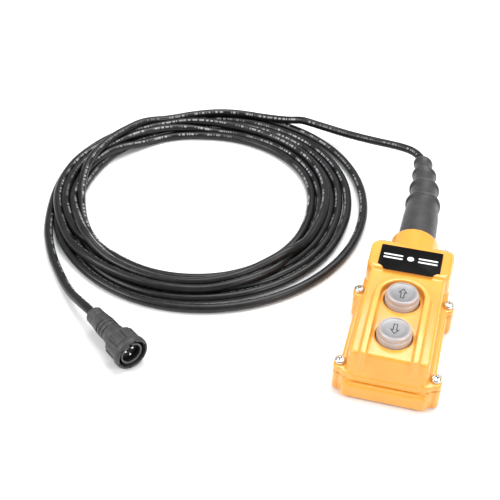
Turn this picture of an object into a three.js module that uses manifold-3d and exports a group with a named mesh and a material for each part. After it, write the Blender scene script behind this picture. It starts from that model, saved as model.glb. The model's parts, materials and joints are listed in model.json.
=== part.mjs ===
// Two-button pendant control station with a strain-relief boot, a coiled cord and a round
// three-pin connector. Millimetres, +Z up. The pendant lies on its back: +Z goes out through
// the buttons and +Y runs along the housing towards the cord. The origin is the middle of the
// back, under the centre of the housing and its boot.

import * as THREE from "three";
import { mergeVertices } from "three/addons/utils/BufferGeometryUtils.js";
import Module from "manifold-3d";

const wasm = await Module();
wasm.setup();

// ---------------------------------------------------------------- driving dimensions

const GAP = 0.3;                    // clearance between pieces that touch
const TOTAL_LENGTH = 240;           // bumper face to boot tip
const FRONT_Y = -TOTAL_LENGTH / 2;  // outer face of the bumper bar
const TIP_Y = TOTAL_LENGTH / 2;     // tip of the boot
const HOUSING_LENGTH = 136.5;       // bumper face to the end wall round the boot
const HOUSING_END_Y = FRONT_Y + HOUSING_LENGTH;
const BODY_WIDTH = 60;              // across the flange between the screw bosses
const BOSS_WIDTH = 68;              // across the screw bosses
const NECK_WIDTH = 58;              // across the cable end
const WALL = 2.6;

const BACK_HEIGHT = 15.2;           // top of the rear housing
const GASKET_HEIGHT = 0.5;
const COVER_BASE_Z = BACK_HEIGHT + GASKET_HEIGHT + 2 * 0.25;
const FLANGE_Z = 20.5;              // screw seats on the cover
const DECK_Z = 35.2;                // floor around the buttons
const BLOCK_Z = DECK_Z + 1.8;       // flat top that carries the label
const GUARD_Z = DECK_Z + 4.8;       // top of the raised rim around the buttons
const FACE_Z = DECK_Z + 6.8;        // highest ring on a button cap

const BUMPER_DEPTH = 7;
const BUMPER_TOP_Z = 13.5;
const BUMPER_HALF = 27.5;
const SHELL_FRONT_Y = FRONT_Y + 3;
const LIP_HALF = 21;                // half width of the cover's lip over the bumper
const INNER_FRONT_Y = SHELL_FRONT_Y + 2.4;  // the tray's front wall is thicker behind that lip

const SCREW_HALF = BOSS_WIDTH / 2 - 4;
const TOP_SCREW_HALF = 22;
const SCREW_ROWS = [FRONT_Y + 11.5, FRONT_Y + 79];
const TOP_SCREW_Y = HOUSING_END_Y - 5.7;
const SCREW_HEAD_RADIUS = 3.5;
const SCREW_SHANK_RADIUS = 1.5;
const SCREW_CLEARANCE = 0.5;

const BUTTON_SPACING = 33.2;
const UP_Y = FRONT_Y + 61.1;
const DOWN_Y = UP_Y - BUTTON_SPACING;
const CAP_RADIUS = 11.2;
const CAP_TRAVEL = 4;
const BORE_CLEARANCE = 0.5;
const GUARD_INNER = CAP_RADIUS + 3.2;
const GUARD_WALL = 3.4;
const GUARD_END_Y = SHELL_FRONT_Y + 3.4;
const GUARD_RAMP = 19;              // length over which the rim's arms sink towards the front
const GUARD_LOW_Z = GUARD_Z - 3;    // top of the arms at their front end

const LABEL_WIDTH = 42;
const LABEL_LENGTH = 25;
const LABEL_TOP_Y = HOUSING_END_Y - 25.2;
const LABEL_NOTCH = 4.5;

const CORD_RADIUS = 3.25;
const CORD_AXIS_Z = 19.5;
const COLLAR_RADIUS = 17.4;
const COLLAR_START_Y = HOUSING_END_Y - 34.5;
const COLLAR_END_Y = HOUSING_END_Y - 2.5;
const BOOT_RADIUS = 13.1;
const BOOT_FLANGE_RADIUS = BOOT_RADIUS + 1.6;
const BOOT_BEND = 8;                // sideways drift of the boot tip

const COIL_CENTRE = new THREE.Vector2(-164, TIP_Y - 70);
const COIL_INNER = 84;
const COIL_OUTER = 126;
const COIL_HEIGHT = 13;

const CONNECTOR_START = new THREE.Vector3(-199.6, COIL_CENTRE.y - 152.6, 12.1);
const CONNECTOR_ANGLE = -36;        // degrees from +X, seen from above
const NUT_RADIUS = 12;
const GRIP_RADIUS = 7.8;

const ROUND = 24;                   // sides of a large turned piece
const POST_ROUND = 12;              // sides of a post or a pocket
const SMALL_ROUND = 8;              // sides of a screw or its hole

// ---------------------------------------------------------------- materials

function material(color, roughness, metalness) {
  return new THREE.MeshStandardMaterial({ color, roughness, metalness });
}

const yellowPlastic = () => material(0xf5ad32, 0.32, 0);
const blackRubber = () => material(0x2b2b2d, 0.7, 0);
const cordJacket = () => material(0x232426, 0.55, 0);
const capPlastic = () => material(0xb9bcc0, 0.35, 0.4);
const labelPlastic = () => material(0x0d0d0e, 0.35, 0);
const screwSteel = () => material(0xc9ccd0, 0.25, 1);
const brass = () => material(0xc8a24a, 0.3, 1);
const blockPlastic = () => material(0x3a3a3c, 0.5, 0);
const connectorPlastic = () => material(0x303133, 0.45, 0);
const springSteel = () => material(0xaeb2b6, 0.3, 1);
const wireJackets = [0x5a3a22, 0x2b4fa8, 0x3d8f45].map((color) => () => material(color, 0.5, 0));

// ---------------------------------------------------------------- solid helpers

function toSolid(geometry) {
  const plain = geometry.clone();
  plain.deleteAttribute("normal");
  plain.deleteAttribute("uv");
  const welded = mergeVertices(plain, 1e-4);
  return new wasm.Manifold(new wasm.Mesh({
    numProp: 3,
    vertProperties: new Float32Array(welded.attributes.position.array),
    triVerts: new Uint32Array(welded.index.array),
  }));
}

function toGeometry(solid) {
  const mesh = solid.getMesh();
  const geometry = new THREE.BufferGeometry();
  geometry.setAttribute("position", new THREE.BufferAttribute(mesh.vertProperties, 3));
  geometry.setIndex(new THREE.BufferAttribute(mesh.triVerts, 1));
  geometry.computeVertexNormals();
  return geometry;
}

function join(geometries) {
  return geometries.map(toSolid).reduce((sum, next) => sum.add(next));
}

function cut(base, geometries) {
  const start = base.isBufferGeometry ? toSolid(base) : base;
  return geometries.map(toSolid).reduce((left, next) => left.subtract(next), start);
}

// One level outline of a rounded rectangle, counter-clockwise seen from above.
function roundedRing(x0, x1, y0, y1, z, radius, steps = 3) {
  const centres = [
    [x1 - radius, y1 - radius],
    [x0 + radius, y1 - radius],
    [x0 + radius, y0 + radius],
    [x1 - radius, y0 + radius],
  ];
  const ring = [];
  centres.forEach(([cx, cy], quarter) => {
    for (let i = 0; i <= steps; i += 1) {
      const angle = (quarter + i / steps) * Math.PI / 2;
      ring.push(new THREE.Vector3(cx + radius * Math.cos(angle), cy + radius * Math.sin(angle), z));
    }
  });
  return ring;
}

// Closed solid through a stack of level outlines with the same number of points.
function loft(rings) {
  const count = rings[0].length;
  const points = rings.flat();
  const faces = [];
  for (let r = 0; r + 1 < rings.length; r += 1) {
    for (let i = 0; i < count; i += 1) {
      const a = r * count + i;
      const b = r * count + (i + 1) % count;
      faces.push(a, b, b + count, a, b + count, a + count);
    }
  }
  const outline = rings[0].map((p) => new THREE.Vector2(p.x, p.y));
  const last = (rings.length - 1) * count;
  THREE.ShapeUtils.triangulateShape(outline, []).forEach(([a, b, c]) => {
    faces.push(a, c, b);
    faces.push(last + a, last + b, last + c);
  });
  const geometry = new THREE.BufferGeometry().setFromPoints(points);
  geometry.setIndex(faces);
  geometry.computeVertexNormals();
  return geometry;
}

// Rounded block with a soft top or bottom edge, drafted sides and a sloping front face.
function softBlock({ x0, x1, y0, y1, z0, z1, corner, top = 0, bottom = 0, draft = 0, slope = 0 }) {
  const edgeSteps = 2;
  const levels = [];
  for (let i = 0; bottom > 0 && i <= edgeSteps; i += 1) {
    const angle = i / edgeSteps * Math.PI / 2;
    levels.push([z0 + bottom * (1 - Math.cos(angle)), bottom * (1 - Math.sin(angle))]);
  }
  if (bottom === 0) levels.push([z0, 0]);
  for (let i = 0; top > 0 && i <= edgeSteps; i += 1) {
    const angle = i / edgeSteps * Math.PI / 2;
    levels.push([z1 - top + top * Math.sin(angle), top * (1 - Math.cos(angle))]);
  }
  if (top === 0) levels.push([z1, 0]);
  return loft(levels.map(([z, inset]) => {
    const rise = (z - z0) / (z1 - z0);
    const side = inset + draft * rise;
    return roundedRing(x0 + side, x1 - side, y0 + side + slope * rise, y1 - side, z,
      Math.max(corner - side, 0.4));
  }));
}

function cylinderZ(radius, z0, z1, x, y, segments = ROUND) {
  const geometry = new THREE.CylinderGeometry(radius, radius, z1 - z0, segments);
  geometry.rotateX(Math.PI / 2);
  geometry.translate(x, y, (z0 + z1) / 2);
  return geometry;
}

function cylinderY(radius, y0, y1, z, segments = ROUND) {
  const geometry = new THREE.CylinderGeometry(radius, radius, y1 - y0, segments);
  geometry.translate(0, (y0 + y1) / 2, z);
  return geometry;
}

function box(x0, x1, y0, y1, z0, z1) {
  const geometry = new THREE.BoxGeometry(x1 - x0, y1 - y0, z1 - z0);
  geometry.translate((x0 + x1) / 2, (y0 + y1) / 2, (z0 + z1) / 2);
  return geometry;
}

// Turned piece about its own Z axis from [radius, height] pairs.
function turned(profile, segments = ROUND) {
  const geometry = new THREE.LatheGeometry(profile.map(([r, h]) => new THREE.Vector2(r, h)), segments);
  geometry.rotateX(Math.PI / 2);
  return geometry;
}

// Turned piece with a bore: the profile closes on itself.
function turnedRing(profile, segments = ROUND) {
  return turned([...profile, profile[0]], segments);
}

function tube(points, radius, sides, steps) {
  const section = new THREE.Shape();
  section.absarc(0, 0, radius, 0, Math.PI * 2);  // an arc gets two sides for each of its segments
  const path = new THREE.CatmullRomCurve3(points, false, "centripetal");
  return new THREE.ExtrudeGeometry(section, {
    steps,
    extrudePath: path,
    curveSegments: sides / 2,
    bevelEnabled: false,
  });
}

const assembly = new THREE.Group();

function add(name, shape, surface, parent = assembly) {
  const mesh = new THREE.Mesh(shape.isBufferGeometry ? shape : toGeometry(shape), surface);
  mesh.name = name;
  parent.add(mesh);
  return mesh;
}

// ---------------------------------------------------------------- housing outlines

const bossPlaces = [
  ...SCREW_ROWS.flatMap((y) => [[-SCREW_HALF, y], [SCREW_HALF, y]]),
  [-TOP_SCREW_HALF, TOP_SCREW_Y],
  [TOP_SCREW_HALF, TOP_SCREW_Y],
];
const sideBosses = bossPlaces.slice(0, 4);

// The plan of the case: a wide button end, a narrower cable end and four side bosses.
function casePlan(z0, z1, inset, edges = {}, front = SHELL_FRONT_Y) {
  const half = BODY_WIDTH / 2 - inset;
  const neck = NECK_WIDTH / 2 - inset;
  return [
    softBlock({
      x0: -half, x1: half, y0: front + inset, y1: SCREW_ROWS[1] + 4 - inset,
      z0, z1, corner: 6 - inset, ...edges,
    }),
    softBlock({
      x0: -neck, x1: neck, y0: SCREW_ROWS[1] - 10, y1: HOUSING_END_Y - inset,
      z0, z1, corner: 6 - inset, ...edges,
    }),
  ];
}

function bossColumns(z0, z1, inset, edges = {}) {
  return sideBosses.map(([x, y]) => softBlock({
    x0: x - 4 + inset, x1: x + 4 - inset, y0: y - 5.8 + inset, y1: y + 5.8 - inset,
    z0, z1, corner: 3.8 - inset, ...edges,
  }));
}

// ---------------------------------------------------------------- rear housing

function rearHousing() {
  const soft = { bottom: 1.5 };
  const bumper = softBlock({
    x0: -BUMPER_HALF, x1: BUMPER_HALF, y0: FRONT_Y, y1: FRONT_Y + BUMPER_DEPTH,
    z0: 1.2, z1: BUMPER_TOP_Z, corner: 3, bottom: 2, top: 2.4,
  });
  const collar = cylinderY(COLLAR_RADIUS, COLLAR_START_Y, COLLAR_END_Y, CORD_AXIS_Z);
  const belowSeam = box(-BOSS_WIDTH, BOSS_WIDTH, FRONT_Y, TIP_Y, -1, BACK_HEIGHT);
  const outside = join([
    ...casePlan(0, BACK_HEIGHT, 0, soft),
    ...bossColumns(0, BACK_HEIGHT, 0, soft),
    bumper,
    collar,
  ]).intersect(toSolid(belowSeam));
  const hollow = cut(join(casePlan(WALL, BACK_HEIGHT + 1, WALL, {}, INNER_FRONT_Y)), [
    cylinderY(COLLAR_RADIUS, COLLAR_START_Y, COLLAR_END_Y, CORD_AXIS_Z),
  ]);
  const posts = [
    ...bossPlaces.map(([x, y]) => cylinderZ(4, WALL - 0.5, BACK_HEIGHT, x, y, POST_ROUND)),
    ...blockScrewPlaces.map(([x, y]) => cylinderZ(3.5, WALL - 0.5, BLOCK_BASE_Z - GAP, x, y, POST_ROUND)),
  ];
  const shell = posts.map(toSolid).reduce((sum, post) => sum.add(post), outside.subtract(hollow));
  return cut(shell, [
    lipRecess(),
    ...collarBores(),
    ...bossPlaces.map(([x, y]) => cylinderZ(
      SCREW_SHANK_RADIUS + GAP, SCREW_TIP_Z - GAP, BACK_HEIGHT + 1, x, y, SMALL_ROUND)),
    ...blockScrewPlaces.map(([x, y]) => cylinderZ(
      BLOCK_SCREW_RADIUS + GAP, WALL + 0.4, BLOCK_BASE_Z + 1, x, y, SMALL_ROUND)),
    ...clampScrewPlaces.map(([x, y]) => cylinderZ(
      BLOCK_SCREW_RADIUS + GAP, CLAMP_TOP_Z - 15, BACK_HEIGHT + 1, x, y, SMALL_ROUND)),
  ]);
}

// The stepped hole along the cord: a groove for the boot's flange and a lip in front of it.
function collarBores() {
  return [
    cylinderY(BOOT_RADIUS + GAP, COLLAR_END_Y - 12, HOUSING_END_Y + 5, CORD_AXIS_Z),
    cylinderY(BOOT_FLANGE_RADIUS + GAP, BOOT_FLANGE_Y - GAP, BOOT_FLANGE_Y + 3 + GAP, CORD_AXIS_Z),
    cylinderY(CORD_RADIUS + 4, COLLAR_START_Y - 1, BOOT_FLANGE_Y + 1, CORD_AXIS_Z),
  ];
}

const BOOT_FLANGE_Y = COLLAR_END_Y - 6.5;

// ---------------------------------------------------------------- gasket

function gasket() {
  const z0 = BACK_HEIGHT + 0.25;
  const z1 = z0 + GASKET_HEIGHT;
  const outer = join([...casePlan(z0, z1, 0.8), ...bossColumns(z0, z1, 0.8)]);
  const inner = casePlan(z0 - 1, z1 + 1, WALL, {}, INNER_FRONT_Y);
  return cut(cut(outer, inner), [
    lipRecess(),
    cylinderY(COLLAR_RADIUS - 1, COLLAR_START_Y - 12, TIP_Y, CORD_AXIS_Z),
    ...sideBosses.map(([x, y]) => cylinderZ(
      SCREW_SHANK_RADIUS + SCREW_CLEARANCE, z0 - 1, z1 + 1, x, y, SMALL_ROUND)),
  ]);
}

// ---------------------------------------------------------------- front cover

// Raised rim around both buttons: an arch over the upper one, open at the bumper end.
function guardRim() {
  const outer = GUARD_INNER + GUARD_WALL;
  const flattened = 0.95;
  const outline = new THREE.Shape();
  outline.moveTo(outer, GUARD_END_Y);
  outline.lineTo(outer, UP_Y);
  outline.absellipse(0, UP_Y, outer, outer * flattened, 0, Math.PI, false);
  outline.lineTo(-outer, GUARD_END_Y);
  outline.lineTo(-GUARD_INNER, GUARD_END_Y);
  outline.lineTo(-GUARD_INNER, UP_Y);
  outline.absellipse(0, UP_Y, GUARD_INNER, GUARD_INNER * flattened, Math.PI, 0, true);
  outline.lineTo(GUARD_INNER, GUARD_END_Y);
  outline.closePath();
  const soft = 1;
  const rim = new THREE.ExtrudeGeometry(outline, {
    depth: GUARD_Z - DECK_Z,
    curveSegments: 10,
    bevelThickness: soft,
    bevelSize: soft,
    bevelOffset: -soft,
    bevelSegments: 2,
  });
  rim.translate(0, 0, DECK_Z - soft);
  const ramp = new THREE.Shape();
  ramp.moveTo(GUARD_END_Y - 1, GUARD_LOW_Z);
  ramp.lineTo(GUARD_END_Y, GUARD_LOW_Z);
  ramp.lineTo(GUARD_END_Y + GUARD_RAMP, GUARD_Z);
  ramp.lineTo(GUARD_END_Y + GUARD_RAMP, GUARD_Z + 1);
  ramp.lineTo(GUARD_END_Y - 1, GUARD_Z + 1);
  ramp.closePath();
  const wedge = new THREE.ExtrudeGeometry(ramp, { depth: 2 * BODY_WIDTH, bevelEnabled: false });
  wedge.applyMatrix4(new THREE.Matrix4().makeBasis(
    new THREE.Vector3(0, 1, 0), new THREE.Vector3(0, 0, 1), new THREE.Vector3(1, 0, 0)));
  wedge.translate(-BODY_WIDTH, 0, 0);
  return cut(rim, [wedge]);
}

function coverOutside() {
  const flange = [...casePlan(COVER_BASE_Z, FLANGE_Z, 0, { top: 1 }, SHELL_FRONT_Y + 1.3),
    ...bossColumns(COVER_BASE_Z, FLANGE_Z, 0, { top: 0.6 })];
  const section = softBlock({
    x0: -SECTION_HALF, x1: SECTION_HALF, y0: SHELL_FRONT_Y, y1: BLOCK_END_Y - 15,
    z0: COVER_BASE_Z, z1: DECK_Z, corner: 5, top: 1.8, draft: SECTION_DRAFT, slope: FRONT_SLOPE,
  });
  const block = softBlock({
    x0: -BLOCK_HALF, x1: BLOCK_HALF, y0: BLOCK_START_Y, y1: BLOCK_END_Y,
    z0: COVER_BASE_Z, z1: BLOCK_Z, corner: 6, top: 1.8, draft: 0.6,
  });
  const collar = cylinderY(COLLAR_RADIUS, COLLAR_START_Y, COLLAR_END_Y, CORD_AXIS_Z);
  const aboveSeam = box(-BOSS_WIDTH, BOSS_WIDTH, FRONT_Y, TIP_Y, COVER_BASE_Z, GUARD_Z + 1);
  return join([...flange, section, block, collar])
    .add(guardRim())
    .intersect(toSolid(aboveSeam))
    .add(toSolid(noseLip()));
}

// The cover's front wall reaches down in front of the seam, onto the bumper.
function noseLip() {
  return box(-LIP_HALF, LIP_HALF, SHELL_FRONT_Y, SHELL_FRONT_Y + WALL, BUMPER_TOP_Z + GAP, COVER_BASE_Z + 1);
}

// Space for that lip in the rear housing and in the gasket.
function lipRecess() {
  return box(-LIP_HALF - GAP, LIP_HALF + GAP, FRONT_Y - 1, SHELL_FRONT_Y + WALL + GAP, BUMPER_TOP_Z,
    COVER_BASE_Z);
}

const BLOCK_HALF = NECK_WIDTH / 2 - 0.4;
const BLOCK_START_Y = SCREW_ROWS[1] + 7.5;
const BLOCK_END_Y = HOUSING_END_Y - 19.5;
const SECTION_HALF = 26.2;
const SECTION_DRAFT = 1.2;
const FRONT_SLOPE = 3;

// Clear way for a screwdriver and a pan head down to each seat.
function screwPockets() {
  return bossPlaces.map(([x, y]) => cylinderZ(SCREW_HEAD_RADIUS + 1, FLANGE_Z, FACE_Z, x, y, POST_ROUND));
}

function coverHollow() {
  return [
    softBlock({
      x0: -SECTION_HALF + WALL, x1: SECTION_HALF - WALL,
      y0: SHELL_FRONT_Y + WALL, y1: BLOCK_END_Y - 15,
      z0: COVER_BASE_Z - 1, z1: DECK_UNDER_Z, corner: 3, draft: SECTION_DRAFT, slope: FRONT_SLOPE,
    }),
    softBlock({
      x0: -BLOCK_HALF + WALL, x1: BLOCK_HALF - WALL, y0: BLOCK_START_Y + WALL, y1: BLOCK_END_Y - WALL,
      z0: COVER_BASE_Z - 1, z1: BLOCK_Z - WALL, corner: 3, draft: 0.6,
    }),
  ];
}

const DECK_UNDER_Z = DECK_Z - 2.4;

function frontCover() {
  return cut(coverOutside(), [
    ...screwPockets(),
    ...coverHollow(),
    ...collarBores(),
    ...bossPlaces.map(([x, y]) => cylinderZ(
      SCREW_SHANK_RADIUS + SCREW_CLEARANCE, COVER_BASE_Z - 1, FLANGE_Z + 1, x, y, SMALL_ROUND)),
    ...[UP_Y, DOWN_Y].map((y) => cylinderZ(
      CAP_RADIUS + BORE_CLEARANCE, DECK_UNDER_Z - 1, DECK_Z + 1, 0, y)),
  ]);
}

// ---------------------------------------------------------------- label

// Plain plate whose two lower corners are scooped out around the screw seats.
function labelPlate() {
  const half = LABEL_WIDTH / 2;
  const low = LABEL_TOP_Y - LABEL_LENGTH;
  const outline = new THREE.Shape();
  outline.moveTo(-half + LABEL_NOTCH, low);
  outline.lineTo(half - LABEL_NOTCH, low);
  outline.quadraticCurveTo(half - LABEL_NOTCH + 0.6, low + LABEL_NOTCH + 0.6, half, low + LABEL_NOTCH + 1.5);
  outline.lineTo(half, LABEL_TOP_Y);
  outline.lineTo(-half, LABEL_TOP_Y);
  outline.lineTo(-half, low + LABEL_NOTCH + 1.5);
  outline.quadraticCurveTo(-half + LABEL_NOTCH - 0.6, low + LABEL_NOTCH + 0.6, -half + LABEL_NOTCH, low);
  const plate = new THREE.ExtrudeGeometry(outline, { depth: 0.4, curveSegments: 5, bevelEnabled: false });
  plate.translate(0, 0, BLOCK_Z + 0.05);
  return plate;
}

// ---------------------------------------------------------------- screws

// Pan-head screw standing on z = 0 with a cross recess in its head.
function panScrew(headRadius, shankRadius, length) {
  const height = headRadius * 0.68;
  const body = turned([
    [0, -length],
    [shankRadius, -length + shankRadius],
    [shankRadius, 0],
    [headRadius, 0],
    [headRadius, height * 0.5],
    [headRadius * 0.7, height],
    [0, height],
  ], POST_ROUND);
  const arm = headRadius * 0.55;
  const blade = headRadius * 0.13;
  return cut(body, [
    box(-arm, arm, -blade, blade, height * 0.4, height + 1),
    box(-blade, blade, -arm, arm, height * 0.4, height + 1),
  ]);
}

const SCREW_TIP_Z = 5;

function placeScrews() {
  bossPlaces.forEach(([x, y], index) => {
    const screw = add(`cover_screw_${index + 1}`,
      panScrew(SCREW_HEAD_RADIUS, SCREW_SHANK_RADIUS, FLANGE_Z - SCREW_TIP_Z), screwSteel());
    screw.position.set(x, y, FLANGE_Z + 0.05);
    screw.rotation.z = 0.5 + index * 0.7;
  });
}

// ---------------------------------------------------------------- push buttons

const CAP_FLANGE_RADIUS = CAP_RADIUS + 1.5;
const CAP_FLANGE_TOP = DECK_UNDER_Z - 1.5;
const CAP_BOTTOM = CAP_FLANGE_TOP - 1.4;
const CAP_CEILING = FACE_Z - 3.5;
const PLUNGER_RADIUS = 4.5;
const BRIDGE_Z = 12;

// Domed cap: dished face, bright bevel, stepped skirt and a flange that holds it under the deck.
function capShape() {
  const profile = [
    [0, CAP_CEILING],
    [CAP_RADIUS - 2, CAP_CEILING],
    [CAP_RADIUS - 2, CAP_BOTTOM],
    [CAP_FLANGE_RADIUS, CAP_BOTTOM],
    [CAP_FLANGE_RADIUS, CAP_FLANGE_TOP],
    [CAP_RADIUS, CAP_FLANGE_TOP],
    [CAP_RADIUS, FACE_Z - 3.4],
    [CAP_RADIUS - 0.5, FACE_Z - 3],
    [CAP_RADIUS - 0.6, FACE_Z - 1.2],
    [CAP_RADIUS - 1.1, FACE_Z - 0.3],
    [CAP_RADIUS - 2, FACE_Z],
    [CAP_RADIUS - 2.6, FACE_Z - 0.6],
    [0, FACE_Z - 0.6],
  ];
  return turned(profile);
}

function sealRing() {
  const z0 = CAP_FLANGE_TOP + 0.25;
  const z1 = DECK_UNDER_Z - 0.25;
  return turnedRing([
    [CAP_RADIUS + GAP, z0],
    [CAP_FLANGE_RADIUS, z0],
    [CAP_FLANGE_RADIUS, z1],
    [CAP_RADIUS + GAP, z1],
  ]);
}

function plungerShape() {
  const neck = 2.6;
  return turned([
    [0, BRIDGE_Z - 2],
    [neck, BRIDGE_Z - 2],
    [neck, BRIDGE_Z + 1.4],
    [PLUNGER_RADIUS, BRIDGE_Z + 1.4],
    [PLUNGER_RADIUS, CAP_CEILING - GAP],
    [0, CAP_CEILING - GAP],
  ], 20);
}

// Contact bar threaded on the plunger's neck.
function bridgeShape() {
  const bar = box(-9.5, 9.5, -3.6, 3.6, BRIDGE_Z, BRIDGE_Z + 1);
  return cut(bar, [cylinderZ(2.6 + GAP, BRIDGE_Z - 1, BRIDGE_Z + 2, 0, 0, POST_ROUND)]);
}

function springShape() {
  const z0 = BLOCK_TOP_Z + 0.3 + 0.5;
  const z1 = CAP_CEILING - 0.3 - 0.5;
  const turns = 4;
  const turnSteps = 8;
  const points = [];
  const count = turns * turnSteps;
  for (let i = 0; i <= count; i += 1) {
    const angle = i / turnSteps * Math.PI * 2;
    points.push(new THREE.Vector3(
      6.2 * Math.cos(angle), 6.2 * Math.sin(angle), z0 + (z1 - z0) * i / count));
  }
  return tube(points, 0.5, 6, count);
}

function placeButton(name, y) {
  const button = new THREE.Group();
  button.position.set(0, y, 0);
  assembly.add(button);
  add(`${name}_cap`, capShape(), capPlastic(), button);
  add(`${name}_seal`, sealRing(), blackRubber(), button);
  add(`${name}_plunger`, plungerShape(), blockPlastic(), button);
  add(`${name}_bridge`, bridgeShape(), brass(), button);
  add(`${name}_spring`, springShape(), springSteel(), button);
}

// ---------------------------------------------------------------- switch block

const BLOCK_BASE_Z = 6.3;
const BLOCK_TOP_Z = 21;
const SWITCH_HALF = 19;
const SWITCH_Y0 = DOWN_Y - 13;
const SWITCH_Y1 = UP_Y + 13;
const BLOCK_SCREW_RADIUS = 1.2;
const CONTACT_Z = BRIDGE_Z - CAP_TRAVEL - 1 - GAP;
const TERMINAL_X = 15;

const blockScrewPlaces = [[-14.5, (UP_Y + DOWN_Y) / 2], [14.5, (UP_Y + DOWN_Y) / 2]];
const terminalPlaces = [UP_Y, DOWN_Y].flatMap((y) => [[-TERMINAL_X, y], [TERMINAL_X, y]]);

function switchBlock() {
  const body = softBlock({
    x0: -SWITCH_HALF, x1: SWITCH_HALF, y0: SWITCH_Y0, y1: SWITCH_Y1,
    z0: BLOCK_BASE_Z, z1: BLOCK_TOP_Z, corner: 2, top: 0.8,
  });
  return cut(body, [
    ...[UP_Y, DOWN_Y].flatMap((y) => [
      cylinderZ(PLUNGER_RADIUS + GAP, BLOCK_BASE_Z - 1, BLOCK_TOP_Z + 1, 0, y, POST_ROUND),
      box(-11, 11, y - 5.5, y + 5.5, BLOCK_BASE_Z - 1, 17),
      box(-18, 18, y - 2.8, y + 2.8, BLOCK_BASE_Z - 1, CONTACT_Z + 1 + GAP),
    ]),
    ...terminalPlaces.map(([x, y]) => cylinderZ(
      BLOCK_SCREW_RADIUS + GAP, BLOCK_BASE_Z - 1, BLOCK_TOP_Z + 1, x, y, SMALL_ROUND)),
    ...blockScrewPlaces.map(([x, y]) => cylinderZ(
      BLOCK_SCREW_RADIUS + GAP, BLOCK_BASE_Z - 1, BLOCK_TOP_Z + 1, x, y, SMALL_ROUND)),
  ]);
}

function placeSwitchBlock() {
  add("switch_block", switchBlock(), blockPlastic());
  terminalPlaces.forEach(([x, y], index) => {
    const near = Math.sign(x) * 6.5;
    const far = Math.sign(x) * 17.6;
    add(`fixed_contact_${index + 1}`,
      cut(box(Math.min(near, far), Math.max(near, far), y - 2.5, y + 2.5, CONTACT_Z, CONTACT_Z + 1), [
        cylinderZ(BLOCK_SCREW_RADIUS + GAP, CONTACT_Z - 1, CONTACT_Z + 2, x, y, SMALL_ROUND),
      ]), brass());
    const screw = add(`terminal_screw_${index + 1}`,
      panScrew(2.3, BLOCK_SCREW_RADIUS, BLOCK_TOP_Z - CONTACT_Z), brass());
    screw.position.set(x, y, BLOCK_TOP_Z + 0.3);
    screw.rotation.z = 0.3 + index;
  });
  blockScrewPlaces.forEach(([x, y], index) => {
    const screw = add(`block_screw_${index + 1}`,
      panScrew(2.3, BLOCK_SCREW_RADIUS, BLOCK_TOP_Z - WALL - 1.2), screwSteel());
    screw.position.set(x, y, BLOCK_TOP_Z + 0.3);
    screw.rotation.z = 1.1 + index;
  });
}

// ---------------------------------------------------------------- cord entry

// Sideways drift of the cord's axis inside the boot, zero at the collar's mouth.
function drift(y) {
  const along = Math.max(0, y - HOUSING_END_Y) / (TIP_Y - HOUSING_END_Y);
  return -BOOT_BEND * along ** 3;
}

function bendAlongBoot(geometry) {
  const position = geometry.attributes.position;
  for (let i = 0; i < position.count; i += 1) {
    position.setX(i, position.getX(i) + drift(position.getY(i)));
  }
  return geometry;
}

// Tapering rubber boot with four raised rings towards its tip.
function bootShape() {
  const bore = CORD_RADIUS + GAP;
  const profile = [
    [bore, BOOT_FLANGE_Y],
    [BOOT_FLANGE_RADIUS, BOOT_FLANGE_Y],
    [BOOT_FLANGE_RADIUS, BOOT_FLANGE_Y + 3],
    [BOOT_RADIUS, BOOT_FLANGE_Y + 3],
    [BOOT_RADIUS, TIP_Y - 77],
    [BOOT_RADIUS - 1.1, TIP_Y - 63],
    [BOOT_RADIUS - 0.2, TIP_Y - 60],
    [BOOT_RADIUS - 0.1, TIP_Y - 54],
    [BOOT_RADIUS - 3.1, TIP_Y - 48],
    [BOOT_RADIUS - 3.1, TIP_Y - 42],
    [BOOT_RADIUS - 1.9, TIP_Y - 39],
    [BOOT_RADIUS - 1.9, TIP_Y - 33.5],
    [BOOT_RADIUS - 4.8, TIP_Y - 28],
    [BOOT_RADIUS - 4.8, TIP_Y - 22.5],
    [BOOT_RADIUS - 3.8, TIP_Y - 20],
    [BOOT_RADIUS - 3.8, TIP_Y - 15],
    [BOOT_RADIUS - 6.5, TIP_Y - 10.5],
    [BOOT_RADIUS - 6.5, TIP_Y - 6.5],
    [BOOT_RADIUS - 5.7, TIP_Y - 4.5],
    [BOOT_RADIUS - 6.1, TIP_Y],
  ];
  for (let y = TIP_Y; y > HOUSING_END_Y; y -= 14) profile.push([bore, y]);
  const points = [...profile, profile[0]].map(([r, y]) => new THREE.Vector2(r, y));
  const boot = new THREE.LatheGeometry(points, 18);
  bendAlongBoot(boot);
  boot.translate(0, 0, CORD_AXIS_Z);
  return boot;
}

const CORE_START_Y = COLLAR_START_Y - 1;
const CLAMP_Y0 = COLLAR_START_Y + 2;
const CLAMP_Y1 = CLAMP_Y0 + 7;
const CLAMP_TOP_Z = CORD_AXIS_Z + 7;

// Cord inside the boot and the housing, from the clamp to the boot's tip.
function cordCore() {
  const points = [];
  for (let y = CORE_START_Y; y <= TIP_Y; y += 8) {
    points.push(new THREE.Vector3(drift(y), y, CORD_AXIS_Z));
  }
  points.push(new THREE.Vector3(drift(TIP_Y - 0.3), TIP_Y - 0.3, CORD_AXIS_Z));
  return tube(points, CORD_RADIUS, 10, 14);
}

const clampScrewPlaces = [[-9, (CLAMP_Y0 + CLAMP_Y1) / 2], [9, (CLAMP_Y0 + CLAMP_Y1) / 2]];

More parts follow.
